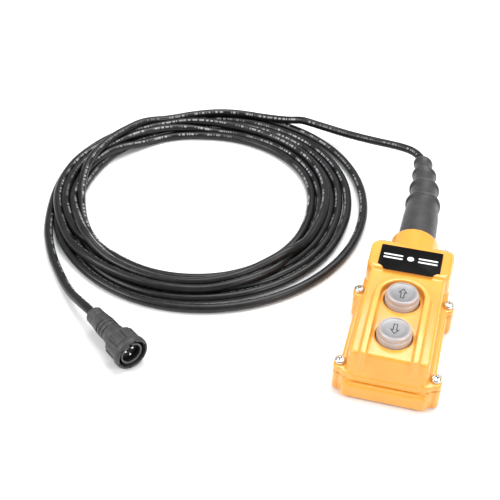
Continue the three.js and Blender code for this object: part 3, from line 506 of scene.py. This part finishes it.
def block(name, x, y, z, corner=0.0, top=0.0, bottom=0.0, draft=0.0, slope=0.0):
    """A moulded block between limits in millimetres: drafted sides, a sloping front, soft edges."""
    size = Vector((x[1] - x[0], y[1] - y[0], z[1] - z[0]))
    centre = Vector((x[0] + x[1], y[0] + y[1], z[0] + z[1])) / 2
    bpy.ops.mesh.primitive_cube_add(size=1, location=centre * MM)
    piece = bpy.context.object
    piece.name = name
    piece.scale = size * MM
    bpy.ops.object.transform_apply(location=True, rotation=True, scale=True)
    if draft or slope:
        pick(piece, "FACE", lambda face: face.normal.z > 0.9)
        narrow = (1 - 2 * draft / size.x, 1 - (2 * draft + slope) / size.y, 1)
        bpy.ops.transform.resize(value=narrow, center_override=centre * MM)
        bpy.ops.transform.translate(value=(0, slope / 2 * MM, 0))
        put_down()
    if corner:
        pick(piece, "EDGE", upright)
        bpy.ops.mesh.bevel(offset=corner * MM, segments=7, affect="EDGES")
        put_down()
    for soft, level in ((top, z[1]), (bottom, z[0])):
        if soft:
            pick(piece, "EDGE", lambda edge, level=level: not upright(edge)
                 and abs(middle(edge).z - level * MM) < 1e-6)
            bpy.ops.mesh.bevel(offset=soft * MM, segments=4, affect="EDGES")
            put_down()
    return piece


def post(name, radius, start, end, x, y, sides=48):
    """A round post along Z."""
    bpy.ops.mesh.primitive_cylinder_add(
        vertices=sides, radius=radius * MM, depth=(end - start) * MM,
        location=(x * MM, y * MM, (start + end) / 2 * MM))
    piece = bpy.context.object
    piece.name = name
    bpy.ops.object.transform_apply(location=True, rotation=True, scale=True)
    return piece


def barrel(name, radius, start, end, z, sides=96):
    """A round barrel along Y."""
    bpy.ops.mesh.primitive_cylinder_add(
        vertices=sides, radius=radius * MM, depth=(end - start) * MM,
        location=(0, (start + end) / 2 * MM, z * MM), rotation=(math.pi / 2, 0, 0))
    piece = bpy.context.object
    piece.name = name
    bpy.ops.object.transform_apply(location=True, rotation=True, scale=True)
    return piece


def combine(piece, tools, how):
    """Joins other solids to a piece (UNION), cuts them away (DIFFERENCE), or keeps what they share."""
    hold(piece)
    for tool in tools:
        step = piece.modifiers.new("step", "BOOLEAN")
        step.operation = how
        step.solver = "EXACT"
        step.object = tool
        bpy.ops.object.modifier_apply(modifier=step.name)
        bpy.data.objects.remove(tool)
    return piece


def moulded(piece, grain, rounds):
    """Melts a solid's hard edges into the small fillets of a moulding."""
    hold(piece)
    skin = piece.modifiers.new("skin", "REMESH")
    skin.mode = "VOXEL"
    skin.voxel_size = grain * MM
    skin.use_smooth_shade = True
    bpy.ops.object.modifier_apply(modifier=skin.name)
    melt = piece.modifiers.new("melt", "SMOOTH")
    melt.factor = 0.5
    melt.iterations = rounds
    bpy.ops.object.modifier_apply(modifier=melt.name)
    bpy.ops.object.shade_smooth()
    return piece


def turned(name, profile, sides=64, closed=False):
    """A turned piece about Z: one point is drawn along a profile, then spun right round."""
    bpy.ops.mesh.primitive_plane_add(size=1)
    piece = bpy.context.object
    piece.name = name
    pick(piece, "VERT", lambda vertex: True)
    bpy.ops.mesh.merge(type="CENTER")
    bpy.ops.transform.translate(value=(profile[0][0] * MM, 0, profile[0][1] * MM))
    outline = [*profile, profile[0]] if closed else profile
    for (r0, h0), (r1, h1) in zip(outline, outline[1:]):
        bpy.ops.mesh.extrude_region_move(
            TRANSFORM_OT_translate={"value": ((r1 - r0) * MM, 0, (h1 - h0) * MM)})
    bpy.ops.mesh.select_all(action="SELECT")
    bpy.ops.mesh.remove_doubles(threshold=1e-6)
    bpy.ops.mesh.select_all(action="SELECT")
    bpy.ops.mesh.spin(steps=sides, angle=2 * math.pi, center=(0, 0, 0), axis=(0, 0, 1))
    bpy.ops.mesh.select_all(action="SELECT")
    bpy.ops.mesh.remove_doubles(threshold=1e-6)
    bpy.ops.mesh.normals_make_consistent(inside=False)
    put_down()
    return piece


SMOOTH_ANGLE = 35


def soften(piece, width, angle, segments):
    """Rounds the sharp edges of a piece a little and shades it smooth."""
    hold(piece)
    edge = piece.modifiers.new("edge", "BEVEL")
    edge.width = width * MM
    edge.segments = segments
    edge.limit_method = "ANGLE"
    edge.angle_limit = math.radians(angle)
    bpy.ops.object.modifier_apply(modifier=edge.name)
    bpy.ops.object.shade_smooth_by_angle(angle=math.radians(SMOOTH_ANGLE))
    return piece


def place(piece, matrix):
    """Moves a finished piece to its place and keeps the place in its mesh."""
    piece.matrix_world = matrix @ piece.matrix_world
    hold(piece)
    bpy.ops.object.transform_apply(location=True, rotation=True, scale=True)
    return piece


def copy_of(piece, name):
    """A copy with its own mesh."""
    twin = piece.copy()
    twin.data = piece.data.copy()
    twin.name = name
    bpy.context.collection.objects.link(twin)
    return twin


def belongs(piece, body, slot, look, *nodes):
    """Gives a finished piece its body and its finish, and hides the CAD nodes it stands for."""
    piece.data.materials.clear()
    piece.data.materials.append(look)
    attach(piece, body)
    if nodes:
        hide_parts(*nodes)


print("hand tools ready")

# %% [markdown]
# The case is two mouldings. The lower one is a tray with a bumper bar across its nose and a
# round collar for the boot. The upper one carries the label block, the drop round the buttons
# and a rim that guards them. Each is built from plain soft-edged blocks joined and cut by
# Boolean modifiers, then remeshed and smoothed, because a mould has a small fillet in every
# corner and beveling each corner of a shape this busy by hand tends to break.

# %% Case sizes
FRONT = -120.0
NOSE = -116.9
CASE_END = 16.5
BODY_HALF = 30.0
NECK_HALF = 29.0
SCREWS = [(-30, -108.5), (30, -108.5), (-30, -41), (30, -41), (-22, 10.8), (22, 10.8)]
SEAM_LOW = 15.5
SEAM_HIGH = 15.8
SEAT = 20.5
DECK = 35.2
UP_Y = -58.9
DOWN_Y = -92.1
CORD_AXIS = 19.5
COLLAR_RADIUS = 17.4
COLLAR_START = -18
COLLAR_END = 14
BUTTON_WAY = 11.85
SCREW_HOLE = 1.9
SCREW_WAY = 2.0
SCREW_SEAT = 4.5
LABEL_TOP = 37.0
BUMPER_HALF = 27.5
BUMPER_DEPTH = 8.5
LIP_HALF = 25.4
TRAY_FLOOR = 2.6
GRAIN = 0.58
# Limits that reach past the case on every side, for cutting it at a level.
PAST_X = (-40, 40)
PAST_Y = (-130, 40)


def plan_blocks(low, high, top=0.0, bottom=0.0, front=NOSE):
    """The case's plan: a wide button end, a narrower cable end and four screw bosses."""
    blocks = [
        block("wide", (-BODY_HALF, BODY_HALF), (front, -37), (low, high), 6, top, bottom),
        block("neck", (-NECK_HALF, NECK_HALF), (-51, CASE_END), (low, high), 6.5, top, bottom),
    ]
    for x, y in SCREWS[:4]:
        blocks.append(block("boss", (x - 4, x + 4), (y - 5.8, y + 5.8), (low, high),
                            3.85, min(top, 0.6), bottom))
    return blocks


def collar_cutters():
    """The stepped bore for the boot and the cable."""
    return [
        barrel("bore", 13.3, 2, 24, CORD_AXIS),
        barrel("groove", 15, 7.2, 10.8, CORD_AXIS),
        barrel("cable_way", 7.25, -22, 8, CORD_AXIS, 48),
    ]


# %% Lower half of the case
def cheeks(low, high, top=0.0, bottom=0.0):
    """The two front corners of the case, beside the lip of the cover."""
    return [block("cheek", (x0, x1), (NOSE, -104), (low, high), 5.4, top, bottom)
            for x0, x1 in ((18, BODY_HALF), (-BODY_HALF, -18))]


base = block("case_back", (-BUMPER_HALF, BUMPER_HALF), (FRONT, FRONT + BUMPER_DEPTH),
             (1.2, 13.3), 3.4, 2.6, 2.2)
combine(base, [*plan_blocks(0, SEAM_LOW, bottom=1.5, front=-112.7), *cheeks(0, SEAM_LOW, 0, 1.5),
               barrel("collar", COLLAR_RADIUS, COLLAR_START, COLLAR_END, CORD_AXIS)], "UNION")
combine(base, [
    block("above", PAST_X, PAST_Y, (SEAM_LOW, 60)),
    block("hollow", (-27.4, 27.4), (-110.1, -39.6), (TRAY_FLOOR, 30), 3.5),
    block("hollow_neck", (-26.4, 26.4), (-48, -19), (TRAY_FLOOR, 30), 3.5),
    *collar_cutters(),
    *[post("screw_hole", SCREW_HOLE, 4.5, 30, x, y, 24) for x, y in SCREWS],
], "DIFFERENCE")
moulded(base, GRAIN, 6)
belongs(base, "case", "housing", case_yellow, "rear_housing")
print("case_back:", len(base.data.polygons), "faces")

# %% Guard rim
RIM_IN = 14.2
RIM_OUT = 18.2
RIM_TOP = 40.2
RIM_FRONT = -115.6
RIM_DROP = 4.6
ARCH_FLATTEN = 0.04


def arch(name, radius, low, high):
    """A post about the upper button, a little flatter along Y than a true round."""
    piece = post(name, radius, low, high, 0, UP_Y, 96)
    piece.scale = (1, 1 - ARCH_FLATTEN, 1)
    piece.location.y = UP_Y * MM * ARCH_FLATTEN
    hold(piece)
    bpy.ops.object.transform_apply(location=True, rotation=True, scale=True)
    return piece


def guard_rim():
    """The raised rim: an arch over the upper button with two arms that run over the nose."""
    rim = arch("rim", RIM_OUT, 32, RIM_TOP)
    combine(rim, [block("arms", (-RIM_OUT, RIM_OUT), (RIM_FRONT, UP_Y), (24, RIM_TOP), 2.2,
                        slope=2.3)], "UNION")
    combine(rim, [
        arch("inside", RIM_IN, 30, 44),
        block("between", (-RIM_IN, RIM_IN), (-125, UP_Y), (10, 44)),
    ], "DIFFERENCE")
    ramp = block("ramp", PAST_X, (-125, -94), (RIM_TOP, 50))
    pick(ramp, "EDGE", lambda edge: middle(edge).y < -120 * MM and middle(edge).z < 41 * MM)
    bpy.ops.transform.translate(value=(0, 0, -RIM_DROP * MM))
    put_down()
    combine(rim, [ramp], "DIFFERENCE")
    return rim


# %% Upper half of the case
cover = block("case_front", (-26.2, 26.2), (NOSE, -18), (SEAM_HIGH, DECK), 4.5, 1.6, 0, 1.2, 3.6)
nose_lip = block("nose_lip", (-LIP_HALF, LIP_HALF), (NOSE, -113), (13.5, SEAM_HIGH + 2), 1.6)
combine(cover, [
    *plan_blocks(SEAM_HIGH, SEAT, top=1.0, front=-114.6),
    *cheeks(SEAM_HIGH, SEAT, 0.9),
    block("label_block", (-28.6, 28.6), (-33.5, -3), (SEAM_HIGH, LABEL_TOP), 6.5, 1.8, 0, 0.6),
    barrel("collar", COLLAR_RADIUS, COLLAR_START, COLLAR_END, CORD_AXIS),
], "UNION")
combine(cover, [guard_rim()], "UNION")
combine(cover, [
    block("below", PAST_X, PAST_Y, (-10, SEAM_HIGH)),
    block("hollow", (-23.4, 23.4), (-114, -19), (SEAM_HIGH - 2, 32.8), 3, slope=3),
    block("hollow_block", (-26, 26), (-30.5, -19), (SEAM_HIGH - 2, 34.4), 3),
    *collar_cutters(),
    *[post("screw_seat", SCREW_SEAT, SEAT, 50, x, y, 40) for x, y in SCREWS],
    *[post("screw_way", SCREW_WAY, 10, 30, x, y, 24) for x, y in SCREWS],
    *[post("button_way", BUTTON_WAY, 30, 40, 0, y, 96) for y in (UP_Y, DOWN_Y)],
], "DIFFERENCE")
combine(cover, [nose_lip], "UNION")
moulded(cover, GRAIN, 4)
belongs(cover, "case", "housing", case_yellow, "front_cover")
print("case_front:", len(cover.data.polygons), "faces")

# %% [markdown]
# Six pan-head screws hold the two halves together. A screw could be left as the CAD piece,
# but its head is a small dome with a cross in it that catches the light, so one is turned,
# its cross is cut, its edges are rounded, and it is copied to the six seats.

# %% Case screws
HEAD = 3.5


def pan_screw(name, radius, shank, length):
    """One pan-head screw standing on z = 0 with a cross recess."""
    tall = radius * 0.68
    body = turned(name, [
        (0, -length), (shank * 0.6, -length), (shank, -length + shank), (shank, 0), (radius, 0),
        (radius, tall * 0.35), (radius * 0.93, tall * 0.68), (radius * 0.74, tall * 0.92),
        (radius * 0.45, tall), (0, tall),
    ], 40)
    arm = radius * 0.58
    blade = radius * 0.15
    combine(body, [
        block("slot_a", (-arm, arm), (-blade, blade), (tall * 0.25, tall + 1)),
        block("slot_b", (-blade, blade), (-arm, arm), (tall * 0.25, tall + 1)),
        block("slot_c", (-blade * 1.9, blade * 1.9), (-blade * 1.9, blade * 1.9),
              (tall * 0.2, tall + 1)),
    ], "DIFFERENCE")
    return soften(body, 0.12, 40, 2)


first_screw = pan_screw("case_screw", HEAD, 1.5, 15)
for number, (x, y) in enumerate(SCREWS, 1):
    screw = copy_of(first_screw, "case_screw_%d" % number)
    place(screw, Matrix.Translation(Vector((x, y, SEAT + 0.05)) * MM)
          @ Matrix.Rotation(0.5 + number * 0.7, 4, "Z"))
    belongs(screw, "case", "screw_steel", screw_steel, "cover_screw_%d" % number)
bpy.data.objects.remove(first_screw)
print("case screws made")

# %% [markdown]
# The label is a thin black plate stuck on the flat top of the cable end. Its two lower
# corners are scooped out beside the screws. The print on it is plain: two pairs of short
# white rules with a dot between them.

# %% Label
label = block("label", (-21, 21), (-33.7, -8.7), (LABEL_TOP + 0.03, LABEL_TOP + 0.45), 0.7)
combine(label, [
    post("scoop", 5.2, 36, 39, x, -34.6, 64) for x in (-21.6, 21.6)
], "DIFFERENCE")
soften(label, 0.12, 40, 2)
belongs(label, "case", "label", label_black, "label_plate")

PRINT_LOW = LABEL_TOP + 0.40
PRINT_HIGH = LABEL_TOP + 0.47
rules = []
for x0, x1 in ((-18.4, -5.2), (5.2, 18.4)):
    for y in (-18.3, -21.6):
        rules.append(block("rule", (x0, x1), (y - 0.75, y + 0.75), (PRINT_LOW, PRINT_HIGH), 0.7))
dot = post("label_print", 2.3, PRINT_LOW, PRINT_HIGH, 0, -19.95, 40)
combine(dot, rules, "UNION")
soften(dot, 0.02, 40, 1)
belongs(dot, "case", "label", label_white)
print("label made")

# %% [markdown]
# Each button is a silvery cap in a round well: a raised ring, a slightly dished face, and a
# stepped skirt that goes down through the deck. It is turned in one go. The arrow on the face
# is a flat outline, so it is a small plate whose middle is inset and removed.

# %% Button finish
cap_silver, cap_tree, cap_shader = new_look("cap_silver")
cap_shader.inputs["Metallic"].default_value = 0.1
cap_shader.inputs["Coat Weight"].default_value = 0.25
cap_shader.inputs["Coat Roughness"].default_value = 0.2
cap_cloud = spread(cap_tree, grain_of(cap_tree, 6, 3.0), 0, 1)
# The flat face keeps a darker grey. The sloping ring and the skirt, picked by which way they face, are
# painted a lighter warm grey: a painted highlight with a painted reflection of the orange case.
cap_face = blend_colours(cap_tree, cap_cloud, (0.19, 0.187, 0.195), (0.23, 0.226, 0.235))
cap_ring_painted_glint = blend_colours(cap_tree, cap_cloud, (0.46, 0.42, 0.41), (0.54, 0.50, 0.49))
cap_normal = cap_tree.nodes.new("ShaderNodeSeparateXYZ")
cap_tree.links.new(cap_tree.nodes.new("ShaderNodeNewGeometry").outputs["Normal"],
                   cap_normal.inputs["Vector"])
painted_glint_mask = spread(cap_tree, cap_normal.outputs["Z"], 0, 1, 0.93, 0.99)
cap_tree.links.new(blend_colours(cap_tree, painted_glint_mask, cap_ring_painted_glint, cap_face),
                   cap_shader.inputs["Base Color"])
cap_tree.links.new(spread(cap_tree, grain_of(cap_tree, 0.5, 4.0), 0.28, 0.42),
                   cap_shader.inputs["Roughness"])
bump(cap_tree, cap_shader, grain_of(cap_tree, 0.3, 2.0), 0.006)
arrow_grey, _, _ = plastic_look("arrow_grey", (0.02, 0.02, 0.022), (0.014, 0.014, 0.016), (0.5, 0.6))

# %% Buttons
FACE = 42.0
CAP = 11.2
ARROW_LEVEL = 40.93
ARROW_LINE = 0.55
ARROW_TALL = 0.25


def cap_piece(name):
    """The cap about the Z axis: skirt, step, raised ring and dished face."""
    cap = turned(name, [
        (0, 38.5), (9.2, 38.5), (9.2, 29.9), (12.7, 29.9), (12.7, 31.3), (CAP, 31.3),
        (CAP, 37.6), (CAP - 0.25, 38.1), (CAP - 0.75, 38.3), (CAP - 0.75, 40.0),
        (CAP - 0.85, 40.7), (CAP - 1.15, 41.4), (CAP - 1.6, 41.85), (CAP - 2.05, FACE),
        (CAP - 2.35, 41.85), (CAP - 2.5, 41.3), (CAP - 2.7, 41.2), (5, 41.08), (0, 41.02),
    ], 96)
    return soften(cap, 0.12, 30, 2)


def arrow_piece(name, turn):
    """An outlined arrow on the cap's face, pointing along +Y before it is turned."""
    bpy.ops.mesh.primitive_circle_add(vertices=7, radius=1, fill_type="NGON")
    arrow = bpy.context.object
    arrow.name = name
    outline = [(0, 4.7), (2.9, 0.5), (1.35, 0.5), (1.35, -4.5),
               (-1.35, -4.5), (-1.35, 0.5), (-2.9, 0.5)]
    for vertex, (x, y) in zip(arrow.data.vertices, outline):
        vertex.co = (x * MM, y * MM, 0)
    pick(arrow, "FACE", lambda face: True)
    bpy.ops.mesh.normals_make_consistent(inside=False)
    bpy.ops.mesh.inset(thickness=ARROW_LINE * MM, depth=0)
    bpy.ops.mesh.delete(type="FACE")
    bpy.ops.mesh.select_all(action="SELECT")
    bpy.ops.mesh.extrude_region_move(
        TRANSFORM_OT_translate={"value": (0, 0, ARROW_TALL * MM)})
    bpy.ops.mesh.select_all(action="SELECT")
    bpy.ops.mesh.normals_make_consistent(inside=False)
    put_down()
    place(arrow, Matrix.Translation((0, 0, ARROW_LEVEL * MM)) @ Matrix.Rotation(turn, 4, "Z"))
    return arrow


for side, y, turn in (("up", UP_Y, 0.0), ("down", DOWN_Y, math.pi)):
    body = "button_" + side
    home = Matrix.Translation((0, y * MM, 0))
    cap = place(cap_piece(body + "_face"), home)
    belongs(cap, body, "button_cap", cap_silver, body + "_cap")
    arrow = place(arrow_piece(body + "_arrow", turn), home)
    belongs(arrow, body, "button_cap", arrow_grey)
print("buttons made")

# %% [markdown]
# The boot keeps the cable from kinking where it leaves the case. It is a cone of soft rubber
# with four lips, each thinner than the last, and its tip leans over with the cable. It is
# turned straight, laid along the cable's axis, and then leaned: a Displace modifier pushes
# every point sideways by an amount that grows with the cube of its distance from the case.

# %% Boot
BOOT_START = 7.5
BOOT_END = 120
BOOT_TURN = 8.0
BOOT_REACH = BOOT_END - CASE_END
CORE = 3.6
boot = turned("boot", [
    (CORE, BOOT_START), (14.6, BOOT_START), (14.6, 10.4), (13.0, 10.6), (13.15, 30), (12.9, 46),
    (12.35, 55), (11.95, 61.4), (12.1, 62.2), (12.75, 62.8), (13.1, 63.6), (13.15, 64.8),
    (12.9, 65.8), (12.2, 66.3), (10.9, 66.4), (10.25, 66.8), (10.1, 68), (10.25, 74),
    (10.15, 80.6), (10.4, 81.6), (11.0, 82.2), (11.4, 83), (11.45, 84.2), (11.2, 85.2),
    (10.6, 85.7), (9.2, 85.8), (8.7, 86.2), (8.55, 87.4), (8.6, 93), (8.45, 99), (8.7, 100.1),
    (9.15, 100.7), (9.45, 101.5), (9.5, 102.6), (9.25, 103.5), (8.7, 104), (7.5, 104.1),
    (7.05, 104.6), (6.9, 106), (6.85, 110.5), (6.6, 114.4), (6.8, 115.4), (7.2, 116),
    (7.5, 116.8), (7.55, 118), (7.35, 119), (6.8, 119.7), (6.0, BOOT_END),
    *[(CORE, height) for height in (BOOT_END, 105, 88, 70, 50, 30)],
], 96, closed=True)
place(boot, Matrix.Translation((0, 0, CORD_AXIS * MM)) @ Matrix.Rotation(-math.pi / 2, 4, "X"))
lean = boot.vertex_groups.new(name="lean")
for vertex in boot.data.vertices:
    along = max(0.0, vertex.co.y / MM - CASE_END) / BOOT_REACH
    lean.add([vertex.index], min(1.0, along**3), "REPLACE")
hold(boot)
push = boot.modifiers.new("push", "DISPLACE")
push.direction = "X"
push.mid_level = 0
push.strength = -BOOT_TURN * MM
push.vertex_group = "lean"
bpy.ops.object.modifier_apply(modifier=push.name)
bpy.ops.object.shade_smooth_by_angle(angle=math.radians(60))
belongs(boot, "case", "boot_rubber", boot_rubber, "cable_boot")
print("boot made")

# %% [markdown]
# The plug has three parts that show: the grip moulded on the cable, the nut that a hand
# turns, and the grey insert with its pins. They are turned about Z and then laid along the
# plug's own axis. The nut's broad grip pads are flats raised on its barrel by an extrude.

# %% Plug place
PLUG_START = Vector((-199.6, -102.6, 12.1)) * MM
PLUG_ANGLE = math.radians(-36)
plug_way = Vector((math.cos(PLUG_ANGLE), math.sin(PLUG_ANGLE), 0))
plug_side = Vector((0, 0, 1)).cross(plug_way)
plug_home = Matrix.Translation(PLUG_START) @ Matrix((
    (plug_side.x, 0, plug_way.x, 0), (plug_side.y, 0, plug_way.y, 0),
    (plug_side.z, 1, plug_way.z, 0), (0, 0, 0, 1)))
GRIP_END = 30.5
NUT_START = GRIP_END + 0.3
NUT_END = NUT_START + 17

# %% Plug grip
grip_outline = [(CORE, 0), (5.0, 0), (5.7, 0.3), (6.1, 1.0), (6.2, 3.4), (6.1, 3.7), (6.2, 4.0),
                (6.35, 7.0), (6.25, 7.3), (6.4, 7.6), (6.9, 11.5), (7.15, 13.6)]
for groove in (14.5, 17.9, 21.3):
    grip_outline += [(7.25, groove), (6.6, groove + 0.2), (6.45, groove + 0.65),
                     (6.6, groove + 1.1), (7.3, groove + 1.35)]
grip_outline += [(7.7, GRIP_END - 4), (7.8, GRIP_END - 0.4), (7.5, GRIP_END), (5.8, GRIP_END),
                 (5.8, GRIP_END + 2.5), (CORE, GRIP_END + 2.5)]
grip = turned("plug_grip", grip_outline, 72, closed=True)
soften(grip, 0.15, 30, 2)
place(grip, plug_home)
belongs(grip, "case", "grip_rubber", plug_plastic, "connector_grip")

# %% Plug nut
nut = turned("plug_nut", [
    (6.15, NUT_START), (9.0, NUT_START), (10.0, NUT_START + 0.5), (10.6, NUT_START + 1.6),
    (10.7, NUT_END - 5.6), (11.2, NUT_END - 5.2), (11.8, NUT_END - 4.9), (12, NUT_END - 4.3),
    (12, NUT_END - 1.6), (11.75, NUT_END - 0.8), (11.2, NUT_END - 0.2), (10.7, NUT_END),
    (10.1, NUT_END), (9.9, NUT_END - 0.3), (9.85, NUT_END - 0.9), (9.85, NUT_START + 1.6),
    (6.15, NUT_START + 1.6),
], 96, closed=True)


def on_pad(face):
    """True for the barrel's outer faces under one of its eight grip pads."""
    centre = face.calc_center_median() / MM
    around = math.degrees(math.atan2(centre.y, centre.x)) % 45
    out = math.hypot(centre.x, centre.y)
    return (4 < around < 41 and 10.5 < out < 10.9
            and NUT_START + 1.6 < centre.z < NUT_END - 5.6)


pick(nut, "FACE", on_pad)
bpy.ops.mesh.extrude_region_shrink_fatten(TRANSFORM_OT_shrink_fatten={"value": 0.55 * MM})
put_down()
NOTCH_CIRCLE = 10.35
notches = []
for number in range(6):
    angle = math.radians(15 + 60 * number)
    notches.append(post("notch", 0.75, NUT_END - 0.9, NUT_END + 1,
                        NOTCH_CIRCLE * math.cos(angle), NOTCH_CIRCLE * math.sin(angle), 20))
combine(nut, notches, "DIFFERENCE")
soften(nut, 0.16, 30, 2)
place(nut, plug_home)
belongs(nut, "coupling_nut", "nut_plastic", plug_plastic, "coupling_nut")

# %% Plug insert and pins
SLEEVE_END = NUT_END - 1.2
insert_grey, insert_tree, insert_shader = rubber_look(
    "insert_grey", (0.13, 0.13, 0.132), (0.09, 0.09, 0.092), (0.35, 0.5), 0.01)
along_plug = insert_tree.nodes.new("ShaderNodeVectorMath")
along_plug.operation = "DOT_PRODUCT"
along_plug.inputs[1].default_value = plug_way
insert_tree.links.new(insert_tree.nodes.new("ShaderNodeTexCoord").outputs["Object"],
                      along_plug.inputs[0])
# Everything behind the last millimetre of the sleeve is painted near black: painted shade inside the
# socket. Only the front rim keeps the insert's own grey.
socket_shade_start = PLUG_START.dot(plug_way) + (SLEEVE_END - 1.1) * MM
painted_socket_shade_mask = spread(insert_tree, along_plug.outputs["Value"], 0, 1, socket_shade_start, socket_shade_start + 0.5 * MM)
insert_own_grey = insert_shader.inputs["Base Color"].links[0].from_socket
insert_tree.links.new(blend_colours(insert_tree, painted_socket_shade_mask, (0.006, 0.006, 0.006), insert_own_grey),
                      insert_shader.inputs["Base Color"])
INSERT_START = GRIP_END + 2.8
SOCKET_FLOOR = SLEEVE_END - 5.2
PIN_CIRCLE = 3.05
PIN_TIP = SLEEVE_END - 2.4
insert = turned("plug_insert", [
    (0, INSERT_START), (8.8, INSERT_START), (8.8, INSERT_START + 3), (8.35, INSERT_START + 3),
    (8.1, SLEEVE_END - 4), (7.9, SLEEVE_END - 0.5), (7.75, SLEEVE_END - 0.1), (7.5, SLEEVE_END),
    (7.0, SLEEVE_END), (6.75, SLEEVE_END - 0.2), (6.65, SLEEVE_END - 0.6), (6.65, SOCKET_FLOOR),
    (0, SOCKET_FLOOR),
], 80)
pin_angles = [math.radians(37 + 120 * i) for i in range(3)]
pin_places = [(PIN_CIRCLE * math.cos(angle), PIN_CIRCLE * math.sin(angle)) for angle in pin_angles]
combine(insert, [
    *[post("pin_way", 1.2, INSERT_START - 1, SOCKET_FLOOR + 1, x, y, 24) for x, y in pin_places],
    block("key_way", (-1.1, 1.1), (6.4, 8.6), (SLEEVE_END - 4, SLEEVE_END + 1)),
], "DIFFERENCE")
soften(insert, 0.1, 40, 2)
place(insert, plug_home)
belongs(insert, "case", "insert_plastic", insert_grey, "connector_insert")
for number, (x, y) in enumerate(pin_places, 1):
    pin = turned("plug_pin_%d" % number, [
        (0, INSERT_START + 0.4), (1.1, INSERT_START + 0.4), (1.1, PIN_TIP - 0.9),
        (1.0, PIN_TIP - 0.4), (0.7, PIN_TIP - 0.1), (0, PIN_TIP),
    ], 24)
    soften(pin, 0.05, 50, 1)
    place(pin, plug_home @ Matrix.Translation(Vector((x, y, 0)) * MM))
    belongs(pin, "case", "pin_metal", pin_plating, "connector_pin_%d" % number)
print("plug made")

# %% [markdown]
# The pieces that stay hidden inside, and the thin seals, keep their CAD shape. Each of them
# only needs a finish of its own, which goes into the material slot of the CAD object.

# %% Finishes of the CAD pieces that stay
wire_looks = [plastic_look("wire_%s" % name, colour, tuple(0.7 * c for c in colour))[0]
              for name, colour in (("brown", (0.2, 0.09, 0.04)), ("blue", (0.03, 0.09, 0.42)),
                                   ("green", (0.06, 0.33, 0.09)))]
looks_by_slot = {
    "gasket": seal_rubber, "plunger": acetal, "contact_metal": contact_brass,
    "spring_steel": spring_steel, "switch_block": dark_plastic, "terminal_steel": screw_steel,
    "clamp_metal": screw_steel, "screw_steel": screw_steel,
}
slot_of = {entry["node"]: entry["material_slot"] for entry in frame["record"]["subparts"]}
for name, node in frame["nodes"].items():
    look = looks_by_slot.get(slot_of.get(name))
    if name.startswith("wire_"):
        look = wire_looks[int(name[-1]) - 1]
    if name == "cable_core":
        look = seal_rubber
    if look is not None:
        for place_slot in node.material_slots:
            place_slot.material = look
print("CAD pieces finished")
